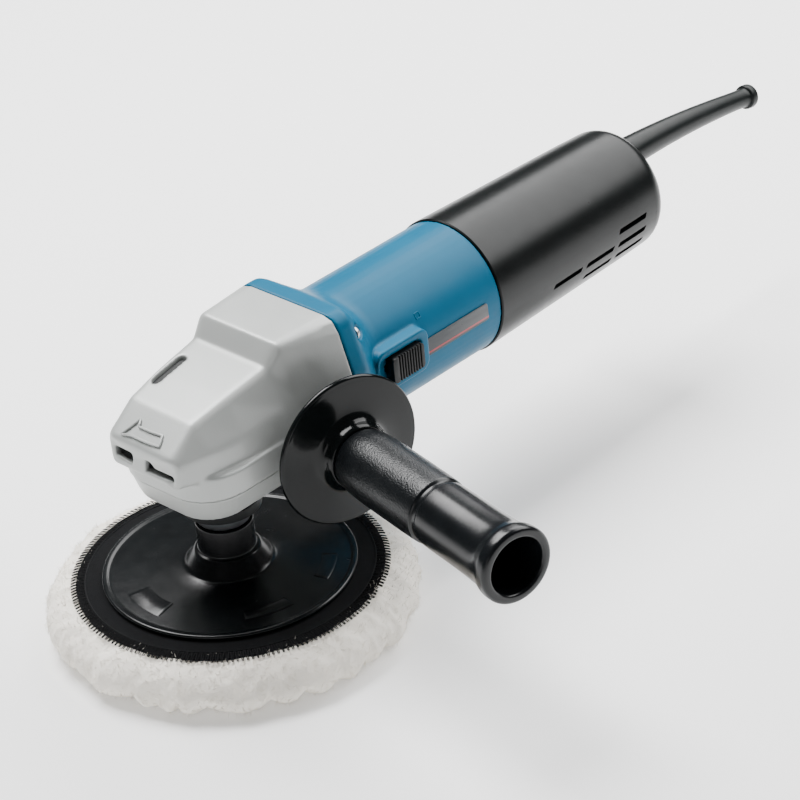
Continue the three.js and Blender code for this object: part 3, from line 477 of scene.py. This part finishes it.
# ---------- gear housing ----------
def make_gear_housing():
    body = copy_of("gear_housing", "gear_housing_cast")
    soften(body, 0.7, 5)

    # The casting's big edges are round, while slots, lock well, boss and flange stay crisp.
    def hood_weight(x, y, z):
        from_lock = math.hypot(x - LOCK_X, max(0, abs(y - LOCK_Y) - LOCK_HALF_LENGTH))
        slots = max(ramp_up(y, -41, -36), ramp_up(z, 122, 126))
        boss = max(1 - ramp_up(abs(x), 34, 38), 1 - ramp_up(y, 22, 28), ramp_up(z, 118, 122))
        return (ramp_up(z, 101, 107) * (1 - ramp_up(y, 53, 57)) * slots * boss
                * ramp_up(from_lock, 4, 8))

    soften_zone(body, hood_weight, 34)
    reduce = body.modifiers.new("light", "DECIMATE")
    reduce.ratio = 0.45
    apply_modifiers(body)
    finish(body, "housing", SILVER, ["gear_housing"], sharp=180)


def make_direction_arrow():
    """A raised arrow outline on the nose, which shows the direction of rotation."""
    nose_y, depth = -46.4, 17.9   # the nose's sloping face, from its lower front edge
    nose_z, rise = 127.4, 12.4
    radius, sunk, steps = 0.65, 0.42, 6

    def on_nose(x, share):
        y = nose_y + depth * share
        bow = 4.6 - 1.8 * share
        half = 26.2 + 5 * share
        return Vector((x, y - bow * (1 - (x / half) ** 2), nose_z + rise * share - sunk))

    corners = [(-16, 0.15), (-10, 0.68), (-8, 0.5), (9, 0.53), (11, 0.27), (-9, 0.25)]
    path = []
    for i, (x, share) in enumerate(corners):
        following = corners[(i + 1) % len(corners)]
        for s in range(steps):
            t = s / steps
            path.append(on_nose(x + (following[0] - x) * t, share + (following[1] - share) * t))
    arrow = bead("direction_arrow", path, radius, sides=10, closed=True)
    finish(arrow, "housing", SILVER)


def make_bearing_box():
    box = copy_of("bearing_box", "bearing_box_cast")
    soften(box, 0.6, 6, 0.5)
    finish(box, "housing", SILVER, ["bearing_box"], sharp=180)


def make_lock_button():
    """Its top sits a little below the well's edge, and its foot clears the well's rounded floor."""
    middle_z, top_drop, foot_lift = 139.5, 0.7, 0.8
    button = copy_of("lock_button", "lock_button_cap")
    soften(button, 0.25, 5, 0.6)
    for vertex in button.data.vertices:
        vertex.co.z += (-top_drop if vertex.co.z > middle_z * MM else foot_lift) * MM
    finish(button, "shaft_lock", MATT_BLACK, ["lock_button"], sharp=180)


# ---------- fasteners ----------
def screw_piece(node, body, axis):
    """A pan-head screw with a cross recess, in the place of a CAD screw."""
    low, high = (Vector(v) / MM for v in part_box(node))
    centre = (low + high) / 2
    span = {"X": high.x - low.x, "Y": high.y - low.y, "Z": high.z - low.z}[axis]
    head_r, head, shank = 3.8, 3.0, 2.4
    recess_reach, recess_half, recess_depth = 2.3, 0.5, 1.5
    if axis == "Z":
        placed = Matrix.Translation((centre.x, centre.y, low.z))
    else:
        placed = (Matrix.Translation((centre.x, high.y, centre.z))
                  @ Matrix.Rotation(math.pi / 2, 4, "X"))
    obj = turned(node + "_turned", [
        (0, 0), (1.6, 0.02), (head_r - 0.3, 0.75, 0.9), (head_r, head, 0.35), (shank, head, 0.2),
        (shank, span - 0.8), (shank - 0.8, span), (0, span),
    ], placed, 32)
    for half_x, half_y in ((recess_reach, recess_half), (recess_half, recess_reach)):
        arm = prism("arm", rounded_box_outline(half_x, half_y, 0.3, steps=2), -1, recess_depth, placed)
        combine(obj, arm, "DIFFERENCE")
    finish(obj, body, STEEL, [node])


def make_fasteners():
    for index in range(1, 5):
        screw_piece(f"housing_screw_{index}", "housing", "Y")
        screw_piece(f"bearing_box_screw_{index}", "housing", "Z")
    screw_piece("rear_cover_screw", "housing", "Z")


# ---------- rings under the gear housing ----------
def make_rings():
    seal = turned("seal_cover_ring", [
        (10.2, 75.5), (22, 75.5, 0.5), (22, 81.7, 0.3), (10.2, 81.7),
    ], SPINDLE, looped=True)
    finish(seal, "housing", PLATED, ["seal_cover"])
    dust = turned("dust_ring_lip", [
        (10.2, 70.6), (14.8, 70.6), (14.8, 68.2, 0.4), (21.2, 68.2, 0.35), (21.2, 73.6, 0.2),
        (20.5, 74, 0.2), (20.5, 75.1, 0.2), (10.2, 75.1),
    ], SPINDLE, looped=True)
    finish(dust, "housing", MATT_BLACK, ["dust_ring"])
    collar = turned("spindle_collar_ring", [
        (12.3, 60.2, 0.2), (14.3, 60.2, 0.5), (14.3, 65.6, 0.4), (13.7, 66.4, 0.4), (14.3, 67.2, 0.4),
        (14.3, 70.2, 0.3), (12.3, 70.2, 0.2),
    ], SPINDLE, looped=True)
    finish(collar, "output", DARK_STEEL, ["spindle_collar"])


# ---------- backing pad and bonnet ----------
def make_backing_pad():
    pad = turned("backing_pad_moulding", [
        (0, 28.3), (68, 28.3, 0.5), (68.3, 30.4, 0.9), (67.2, 31.2, 0.5), (65.4, 31, 0.5),
        (64.4, 30.4, 1), (62, 30.6, 1), (30, 32.8, 3), (24.4, 33.6, 1.5), (22.8, 34.9, 1.2),
        (17.9, 42, 0.8), (17.2, 42.7, 0.5), (HUB_R, 43.2, 0.8), (HUB_R, HUB_TOP, 0.8),
        (HUB_BORE, HUB_TOP, 0.3), (HUB_BORE, HUB_FLOOR), (0, HUB_FLOOR),
    ], SPINDLE, 160)
    finish(pad, "output", PAD_RUBBER, ["backing_pad"], sharp=50)


def make_pad_panels():
    """Three blank raised panels, in place of moulded marks."""
    inner_r, inner_z, outer_r, outer_z = 23.5, 33.9, 62, 30.5   # the pad's sloping face
    steps = 14

    def on_disc(radius, degrees, lift):
        z = inner_z + (radius - inner_r) * (outer_z - inner_z) / (outer_r - inner_r)
        return around(radius, math.radians(degrees), z + lift)

    def plate(inner, outer, start, end):
        rings = []
        for lift, inset in ((-0.5, 0), (0.15, 0), (0.35, 0.35)):
            ring = []
            for s in range(steps + 1):
                d = start + inset + (end - start - 2 * inset) * s / steps
                ring.append(on_disc(outer - inset, d, lift))
            for s in range(steps + 1):
                d = end - inset - (end - start - 2 * inset) * s / steps
                ring.append(on_disc(inner + inset, d, lift))
            rings.append(ring)
        return skin("plate", rings)

    panels = merged("pad_blank_panels", [
        plate(46, 58, -112, -84), plate(49, 57, 20, 44), plate(48, 56, -36, -8),
    ])
    finish(panels, "output", PAD_RUBBER)


def make_fabric():
    """The bonnet's backing disc, with a slightly wavy edge."""
    flat_r, wave_height = 72, 0.25
    profile = eased([
        (0, 27.9), (70, 27.95), (78, 27.9, 1), (FABRIC_R - 0.4, 27.4, 0.5), (FABRIC_R, 26.7, 0.3),
        (FABRIC_R - 0.6, 26.2, 0.3), (78, 26.4), (0, 26.6),
    ])
    rings = []
    for r, z in profile:
        ring = []
        for a in full_turn(240):
            wave = wave_height * noise.noise(around(9, a, 0.5)) if r > flat_r else 0
            ring.append(around(r, a, z + wave))
        rings.append(ring)
    cloth = skin("bonnet_backing_cloth", rings, capped=False)
    finish(cloth, "output", FABRIC, ["bonnet_fabric"], sharp=60)


def make_stitching():
    """The overlocked edge: radial stitches and the chain that ties their inner ends."""
    chain_r, chain_z, chain_rise = 77.4, 28.05, 0.12
    count, stitch_thickness, chain_thickness = 400, 0.27, 0.3
    loops = []
    for index in range(count):
        a = 2 * math.pi * (index + 0.25 * noise.noise(Vector((index * 1.7, 0, 0)))) / count
        reach = 0.5 * noise.noise(Vector((index * 0.9, 4, 0)))
        slant = 0.004 * (1 if index % 2 else -1)
        path = [
            around(r, a + slant * s, z)
            for r, z, s in (
                (77.6, 27.7, -1), (78.4, 28.2, -0.6), (80.6, 28.2, 0), (82.6, 27.9, 0.5),
                (84 + reach, 27.5, 0.8), (85.2 + reach, 27, 1),
            )
        ]
        loops.append(bead("loop", path, stitch_thickness, sides=5))
    stitching = merged("overlock_stitching", loops)
    finish(stitching, "output", THREAD, sharp=80)
    path = [around(chain_r, a, chain_z + chain_rise * (k % 2)) for k, a in enumerate(full_turn(480))]
    chain = bead("overlock_chain", path, chain_thickness, sides=6, closed=True)
    finish(chain, "output", THREAD, sharp=80)


def wool_profile(spacing):
    """The pile's section as points of (r, z), cut into even steps and then smoothed."""
    outline = [
        (0, 1.6), (40, 1.6), (70, 1.3), (84, 1.2), (92, 2.4), (96.6, 5.4), (98.6, 9.4), (98.9, 13.2),
        (97.4, 17.6), (94.2, 21.2), (90, 23.8), (86, 25.3), (83, 25.8), (80, 25.4), (76, 24.6),
        (0, 24.5),
    ]
    profile = outline[:3]
    for (r0, z0), (r1, z1) in zip(outline[2:-2], outline[3:-1]):
        steps = max(1, round(math.hypot(r1 - r0, z1 - z0) / spacing))
        profile += [(r0 + (r1 - r0) * s / steps, z0 + (z1 - z0) * s / steps)
                    for s in range(1, steps + 1)]
    profile.append(outline[-1])
    for _ in range(3):
        profile = profile[:3] + [
            tuple(0.25 * profile[i - 1][k] + 0.5 * profile[i][k] + 0.25 * profile[i + 1][k]
                  for k in (0, 1))
            for i in range(3, len(profile) - 1)
        ] + profile[-1:]
    return profile


def wool_rings(profile, segments):
    """The pile's surface, lifted by swells, locks and curls, with scallops round its lower edge."""
    start_r, full_r = 70, 84
    lobes, scallop_top, scallop_height = 15, 17, 12
    highest_lift, lowest_z = 3.0, 0.15
    rings = []
    for index, (r, z) in enumerate(profile):
        ahead = profile[min(index + 1, len(profile) - 1)]
        behind = profile[max(index - 1, 0)]
        tangent = Vector((ahead[0] - behind[0], ahead[1] - behind[1])).normalized()
        outward = Vector((tangent.y, -tangent.x))
        fade = ramp_up(r, start_r, full_r) if 1 < index < len(profile) - 1 else 0
        ring = []
        for a in full_turn(segments):
            point = around(r, a, z)
            locks = abs(noise.noise(Vector((point.x, point.y, point.z * 0.55)) / 9.5))
            curls = abs(noise.noise(Vector((point.x, point.y, point.z * 1.1 + 40)) / 3.4))
            fluff = noise.noise(point / 1.25)
            swell = noise.noise(point / 24)
            lobe = abs(math.sin(lobes * a + 2.6 * noise.noise(around(1, a) * 2)))
            low = min(1, max(0, (scallop_top - z) / scallop_height))
            lift = fade * (2.0 * swell + 2.3 * (0.45 - locks) + 0.7 * (0.4 - curls) + 0.12 * fluff
                           + 3.8 * low * (lobe - 0.7))
            lift = min(lift, highest_lift)
            ring.append(around(r + outward.x * lift, a, max(lowest_z, z + outward.y * lift)))
        rings.append(ring)
    return rings


def make_wool():
    """Short dense pile: soft lumps of locks, with finer tufts on them."""
    spacing = 1.1
    rings = wool_rings(wool_profile(spacing), round(2 * math.pi * WOOL_R / spacing))
    wool = skin("wool_bonnet_pile", rings, capped=False)
    finish(wool, "output", WOOL, ["wool_pile"], sharp=180)
    make_loose_fibres(rings)


def make_loose_fibres(rings):
    """Fine curled fibres that stand a little off the pile and soften its edge."""
    middle_z, lowest_z = 12, 0.3
    count = 9000
    draw = random.Random(7)
    fibres = bmesh.new()
    for _ in range(count):
        ring = rings[draw.randrange(6, len(rings) - 4)]
        root = ring[draw.randrange(len(ring))]
        away = Vector((root.x, root.y, 2.2 * (root.z - middle_z))).normalized()
        side = Vector((-root.y, root.x, 0)).normalized()
        heading = (away * draw.uniform(0.15, 0.5) + side * draw.uniform(-0.8, 0.8)
                   + Vector((0, 0, draw.uniform(-0.6, 0.5)))).normalized()
        curl = side.cross(heading) * draw.uniform(-0.7, 0.7) - away * draw.uniform(0.1, 0.5)
        length = draw.uniform(2.2, 4.2)
        spine = [root - away * 0.3 + heading * length * t + curl * length * t * t * 0.6
                 for t in (0, 0.35, 0.7, 1)]
        loops = []
        for point, thick in zip(spine, (0.2, 0.17, 0.12, 0.03)):
            point.z = max(lowest_z, point.z)
            loops.append([
                fibres.verts.new((point + thick * (math.cos(turn) * side + math.sin(turn) * away)) * MM)
                for turn in full_turn(3)
            ])
        for low_loop, high_loop in zip(loops, loops[1:]):
            for k in range(3):
                fibres.faces.new((low_loop[k], low_loop[(k + 1) % 3], high_loop[(k + 1) % 3],
                                  high_loop[k]))
        fibres.faces.new(tuple(reversed(loops[0])))
        fibres.faces.new(loops[-1])
    bmesh.ops.recalc_face_normals(fibres, faces=fibres.faces)
    mesh = bpy.data.meshes.new("wool_loose_fibres")
    fibres.to_mesh(mesh)
    fibres.free()
    finish(new_object("wool_loose_fibres", mesh), "output", WOOL, sharp=180)


# ---------- motor housing ----------
HOOD_END = [(34.4, 161.4), (45.6, 126), (43, 71.5)]
HOOD_EASE = 8


def flange_outline(steps=10):
    """The motor housing's six-sided front end, as (x, z) points with eased corners."""
    corners = HOOD_END + [(-x, z) for x, z in reversed(HOOD_END)]
    out = []
    for i, (x, z) in enumerate(corners):
        corner = Vector((x, z))
        start = corner + (Vector(corners[i - 1]) - corner).normalized() * HOOD_EASE
        end = corner + (Vector(corners[(i + 1) % 6]) - corner).normalized() * HOOD_EASE
        for s in range(steps + 1):
            t = s / steps
            out.append(start.lerp(corner, t).lerp(corner.lerp(end, t), t))
        nxt = Vector(corners[(i + 1) % 6])
        onward = nxt + (corner - nxt).normalized() * HOOD_EASE
        for s in range(1, 8):
            out.append(end.lerp(onward, s / 8))
    return out


def housing_ring(outline, y, roundness, radius):
    """The outline at y, turned by roundness from its own shape into a circle."""
    ring = []
    for point in outline:
        offset = point - Vector((0, MOTOR_Z))
        mixed = offset.lerp(offset.normalized() * radius, roundness)
        ring.append((mixed.x, y, mixed.y + MOTOR_Z))
    return ring


def make_motor_housing():
    outline = flange_outline()
    stations = [(FLANGE_Y, 0.0), (70, 0.0), (71.5, 0.02), (73.5, 0.09), (75.5, 0.21),
                (77.5, 0.36), (79.5, 0.51), (82, 0.68), (85, 0.83), (88, 0.93), (91, 0.98),
                (94, 1.0)]
    stations += [(y, 1.0) for y in (110, 130, 150, 170)] + [(COVER_Y, 1.0)]
    outer = [housing_ring(outline, y, share, BARREL_R) for y, share in stations]
    bore, step_y, step_r = BARREL_R - BARREL_WALL, 66, 34
    inner = [
        housing_ring(outline, y, 1.0, radius)
        for y, radius in ((COVER_Y, bore), (step_y, bore), (step_y, step_r), (FLANGE_Y, step_r))
    ]
    body = skin("motor_housing_shell", outer + inner, looped=True)
    pad_outline = rounded_box_outline(19.5, 12.5, 6, (101, SWITCH_Z + 0.5), 8)
    pad = prism("pad", pad_outline, 33.5, 42.6, SIDEWAYS)
    combine(body, pad, "UNION")
    well = prism("well", rounded_box_outline(15.9, 8.4, 3, (99.2, SWITCH_Z)), 39, 50, SIDEWAYS)
    combine(body, well, "DIFFERENCE")
    slot = prism("slot", rounded_box_outline(10, 2.6, 0.4, (100, SWITCH_Z)), 30, 45, SIDEWAYS)
    combine(body, slot, "DIFFERENCE")
    for x in (-33.5, 33.5):
        for rise in (-32, 32):
            placed = Matrix.Translation((x, 0, MOTOR_Z + rise)) @ LYING
            pocket = turned("pocket", [
                (0, 60), (2.7, 60), (2.7, 74), (4.6, 74), (4.6, 100), (0, 100),
            ], placed, 32)
            combine(body, pocket, "DIFFERENCE")
    soften(body, 0.7, 5, 0.4)
    finish(body, "housing", BLUE, ["motor_housing"], sharp=180)


def make_housing_mark():
    """A small moulded square outline above the label."""
    angle, y, half = math.radians(31.5), 122.6, 1.6
    corners = [
        on_barrel(BARREL_R, angle + half * dz / BARREL_R, y + half * dy)
        for dy, dz in ((-1, -1), (1, -1), (1, 1), (-1, 1))
    ]
    path = [p.lerp(corners[(i + 1) % 4], s / 4) for i, p in enumerate(corners) for s in range(4)]
    finish(bead("housing_mark", path, 0.3, closed=True), "housing", BLUE)


def make_label():
    """A curved plate on the barrel, from low to high in degrees round it."""
    low, high = -3.4, 10.6
    start_y, end_y, corner = 121, 170.5, 1.2
    rings = []
    for radius, inset in ((39.25, 0.0), (39.7, 0.0), (39.85, 0.25)):
        y0, y1 = start_y + inset, end_y - inset
        ring = []
        for u, v in rounded_box_outline(
            (y1 - y0) / 2, math.radians(high - low) / 2 * BARREL_R - inset, corner,
            ((y0 + y1) / 2, 0), 5,
        ):
            ring.append(on_barrel(radius, math.radians((low + high) / 2) + v / BARREL_R, u))
        rings.append(ring)
    plate = skin("label_plate_printed", rings)
    finish(plate, "housing", LABEL, ["label_plate"])


def make_switch():
    """A thumb piece with nine cross grooves, on a foot that runs in the housing's slot."""
    centre, groove_count, pitch = (SWITCH_Y, SWITCH_Z), 9, 2.0
    cap = prism("switch_button_ribbed", rounded_box_outline(11.8, 7.4, 2.4, centre, 8),
                39.7, 45.4, SIDEWAYS)
    foot = prism("foot", rounded_box_outline(5, 2, 0.4, centre), 34.9, 40.2, SIDEWAYS)
    combine(cap, foot, "UNION")
    grooves = merged("grooves", [
        prism("groove", rounded_box_outline(0.5, 9, 0.2, (SWITCH_Y + 11 - pitch * i, SWITCH_Z), 2),
              44.2, 48, SIDEWAYS)
        for i in range(1, groove_count + 1)
    ])
    combine(cap, grooves, "DIFFERENCE")
    bevelled(cap, 0.22, 2, 40)
    finish(cap, "switch_slide", MATT_BLACK, ["switch_button"])


# ---------- rear cover and cord guard ----------
def make_rear_cover():
    """A turned cup with a rounded end, a seat for the cord guard, a screw pit and air slots."""
    thickness, nose_ease = 3, 11

    def wall(inset, start):
        corner = nose_ease - inset * 0.5
        end_r = TAIL_R - inset
        points = [(LIP_R - inset, start)]
        for y in (210, 240, 270, 300):
            share = (y - COVER_Y) / (TAIL_Y - COVER_Y)
            points.append((LIP_R + (TAIL_R - LIP_R) * share - inset, y))
        for s in range(11):
            a = math.pi / 2 * s / 10
            points.append((end_r - corner + corner * math.cos(a),
                           TAIL_Y - inset - corner + corner * math.sin(a)))
        points.append((0, TAIL_Y - inset))
        return points

    outside = wall(0, COVER_Y + 1)
    inside = wall(thickness, COVER_Y + 0.3)
    profile = [(LIP_R - thickness, COVER_Y + 0.3), (LIP_R - 0.6, COVER_Y + 0.3)] + outside
    profile += list(reversed(inside[1:]))
    cover = turned("rear_cover_moulding", profile, MOTOR, 160, looped=True)
    seat = turned("seat", [(0, 325), (10, 325), (10, 340), (0, 340)],
                  Matrix.Translation((0, 0, CORD_Z)) @ LYING, 48)
    combine(cover, seat, "DIFFERENCE")
    for radius, top in ((2.9, 90), (4.7, 76)):
        pit = turned("pit", [(0, 70), (radius, 70), (radius, top), (0, top)],
                     Matrix.Translation((0, COVER_SCREW_Y, 0)), 32)
        combine(cover, pit, "DIFFERENCE")
    combine(cover, rear_slots(), "DIFFERENCE")
    finish(cover, "housing", SATIN_BLACK, ["rear_cover"], sharp=28)


def rear_slots():
    """The air slots' cutters: three columns on each side, shorter by a row towards the front."""
    last_y, pitch_y = 296, 28.6
    first_turn, pitch_turn = 1, 13.5
    slant, half, rise, ease = 1.2, 12.75, 1.65, 0.7
    slots = []
    for side in (1, -1):
        for column, rows in enumerate(((0, 1, 2), (1, 2), (1,))):
            for row in rows:
                turn = math.radians(first_turn + row * pitch_turn)
                shape = eased([
                    (-half, -rise, ease), (half - slant, -rise, ease), (half, rise, ease),
                    (-half + slant, rise, ease),
                ], 3)
                placed = (Matrix.Translation((0, last_y - column * pitch_y, MOTOR_Z))
                          @ Matrix.Rotation(side * turn, 4, "Y") @ SIDEWAYS)
                low, high = (24, 48) if side > 0 else (-48, -24)
                slots.append(prism("slot", shape, low, high, placed))
    return merged("slots", slots)


def make_cord_guard():
    """A tapered boot with a flared end, along a gently drooping curve."""
    start, middle = Vector((0, 319.5, CORD_Z)), Vector((0, 375, CORD_Z + 1.9))
    end = Vector((0, 451, CORD_Z - 9.8))

    def at(t):
        return start.lerp(middle, t).lerp(middle.lerp(end, t), t)

    def along(t):
        return ((middle - start).lerp(end - middle, t)).normalized()

    outside = [(0, 11.3), (0.034, 11.3), (0.037, 9.6), (0.06, 9.6)]
    taper_steps = 20
    outside += [(0.06 + 0.8 * s / taper_steps, 9.6 - 3.75 * (s / taper_steps) ** 0.92)
                for s in range(1, taper_steps + 1)]
    outside += [(0.9, 5.72), (0.945, 5.68), (0.957, 5.75), (0.9625, 5.95), (0.9645, 6.9),
                (0.967, 7.2), (0.97, 7.3), (0.99, 7.3), (0.9955, 7.15), (1.0, 6.7)]
    bore = [(1.0, 4.3), (0.994, 3.95), (0.98, 3.9), (0.7, 3.9), (0.35, 3.9), (0, 3.9)]
    rings = []
    for t, radius in outside + bore:
        across = Vector((1, 0, 0))
        up = across.cross(along(t))
        rings.append([
            at(t) + radius * (math.cos(a) * up + math.sin(a) * across)
            for a in full_turn(48)
        ])
    guard = skin("cord_guard_boot", rings, looped=True)
    finish(guard, "housing", GUARD_RUBBER, ["cord_guard"], sharp=50)


# ---------- side grip ----------
def make_grip_guard():
    guard = turned("grip_guard_disc", [
        (5.3, 0.3), (13, 0.3, 0.5), (13, 8, 1.5), (15, 12, 2.5), (24, 15.2, 4), (38, 14.5, 3),
        (41.2, 14.1, 0.6), (41.8, 14.7, 0.5), (41.8, 16.2, 0.6), (41, 17, 0.6), (39.6, 17.1, 0.4),
        (38.4, 17.3, 0.6), (27, 18.5, 6), (19.4, 20.6, 4), (17.9, 25.6, 1.6), (17.2, 26.6, 0.6),
        (16.4, 26.6, 0.3), (16.2, 19.6, 0.4), (5.3, 19.6),
    ], GRIP, 192, looped=True, steps=6)
    finish(guard, "housing", GLOSS_BLACK, ["grip_guard"], sharp=40)


def make_grip():
    """The handle: grained up to a groove, and smooth beyond it and inside its hollow end."""
    groove_z, hollow_r = 94, 14.8
    grip = turned("side_grip_moulding", [
        (5.3, 20), (15.9, 20, 0.3), (15.9, 27.2, 0.5), (17.3, 29, 1.6), (18.3, 40, 8), (18.5, 60, 10),
        (18.4, 88, 6), (18.2, 94.2, 0.9), (17.1, 95.4, 0.5), (17.1, 97.6, 0.5), (17.7, 98.8, 0.8),
        (17.8, 104, 2), (17.9, 130, 8), (18.6, 147, 5), (19.8, 150.6, 2), (20.7, 153.2, 1.4),
        (20.8, 158.4, 1.6), (19.4, 160, 1.4), (16.2, 160, 0.9), (15.2, 158.6, 1), (14.6, 60),
        (5.3, 60),
    ], GRIP, 128, looped=True, steps=5)
    mesh = grip.data
    finish(grip, "housing", GRIP_PLASTIC, ["side_grip"], sharp=40)
    mesh.materials.append(GRIP_SMOOTH)
    back = GRIP.inverted()
    for polygon in mesh.polygons:
        centre = back @ (polygon.center / MM)
        smooth = centre.z > groove_z or math.hypot(centre.x, centre.y) < hollow_r
        polygon.material_index = 1 if smooth else 0


make_gear_housing()
make_direction_arrow()
make_bearing_box()
make_lock_button()
make_fasteners()
make_rings()
make_backing_pad()
make_pad_panels()
make_fabric()
make_stitching()
make_wool()
make_motor_housing()
make_housing_mark()
make_label()
make_switch()
make_rear_cover()
make_cord_guard()
make_grip_guard()
make_grip()

# ---------- camera ----------
AZIMUTH, ELEVATION, ROLL = math.radians(46), math.radians(31), math.radians(-5.6)
DISTANCE, ASIDE = 1700, 26.013
AIM = Vector((0, 100, 78.458))
SENSOR_WIDTH, LENS = 36, 141.5511
across = Vector((math.cos(AZIMUTH), math.sin(AZIMUTH), 0))
back = Vector((math.sin(AZIMUTH) * math.cos(ELEVATION), -math.cos(AZIMUTH) * math.cos(ELEVATION),
               math.sin(ELEVATION)))
upward = back.cross(across)
eye = across * ASIDE + AIM + back * DISTANCE
rolled = math.cos(ROLL) * across + math.sin(ROLL) * upward
risen = math.cos(ROLL) * upward - math.sin(ROLL) * across
camera_data = bpy.data.cameras.new("camera")
camera_data.sensor_width = SENSOR_WIDTH
camera_data.lens = LENS
camera_data.clip_end = 50
camera = bpy.data.objects.new("camera", camera_data)
camera.matrix_world = Matrix((
    (rolled.x, risen.x, back.x, eye.x * MM), (rolled.y, risen.y, back.y, eye.y * MM),
    (rolled.z, risen.z, back.z, eye.z * MM), (0, 0, 0, 1),
))
scene.collection.objects.link(camera)
scene.camera = camera


# ---------- studio ----------
FLOOR_HALF, FLOOR_DROP, FLOOR_GLOW = 6000, 0.0005, 0.3
WORLD_LIGHT = 0.08
LIGHTS_AIM = (0, 0.12, 0.1)


def make_floor():
    mesh = bpy.data.meshes.new("studio_floor")
    mesh.from_pydata([(x * FLOOR_HALF * MM, y * FLOOR_HALF * MM, -FLOOR_DROP)
                      for x, y in ((-1, -1), (1, -1), (1, 1), (-1, 1))], [], [(0, 1, 2, 3)])
    floor = new_object("studio_floor", mesh)
    material = bpy.data.materials.new("studio_floor")
    material.use_nodes = True
    shader = material.node_tree.nodes["Principled BSDF"]
    shader.inputs["Base Color"].default_value = (0.93, 0.93, 0.93, 1)
    shader.inputs["Roughness"].default_value = 0.9
    shader.inputs["Specular IOR Level"].default_value = 0.1
    shader.inputs["Emission Color"].default_value = (1, 1, 1, 1)
    shader.inputs["Emission Strength"].default_value = FLOOR_GLOW
    mesh.materials.append(material)


def softbox(name, place, width, height, radiance):
    """A soft rectangular lamp at a place in m, aimed at the object."""
    data = bpy.data.lights.new(name, "AREA")
    data.shape = "RECTANGLE"
    data.size, data.size_y = width, height
    data.energy = radiance * math.pi * width * height
    lamp = bpy.data.objects.new(name, data)
    lamp.location = place
    lamp.rotation_euler = (Vector(LIGHTS_AIM) - Vector(place)).to_track_quat("-Z", "Y").to_euler()
    scene.collection.objects.link(lamp)


make_floor()
softbox("softbox_back", (0.1, 1.25, 1.15), width=2.2, height=0.9, radiance=8.0)
softbox("softbox_top", (-0.75, 0.1, 1.65), width=1.1, height=1.1, radiance=21.0)
softbox("fill_front", (0.9, -1.9, 0.5), width=0.9, height=0.9, radiance=1.6)
world = bpy.data.worlds.new("studio")
world.use_nodes = True
world.node_tree.nodes["Background"].inputs["Color"].default_value = (1, 1, 1, 1)
world.node_tree.nodes["Background"].inputs["Strength"].default_value = WORLD_LIGHT
scene.world = world
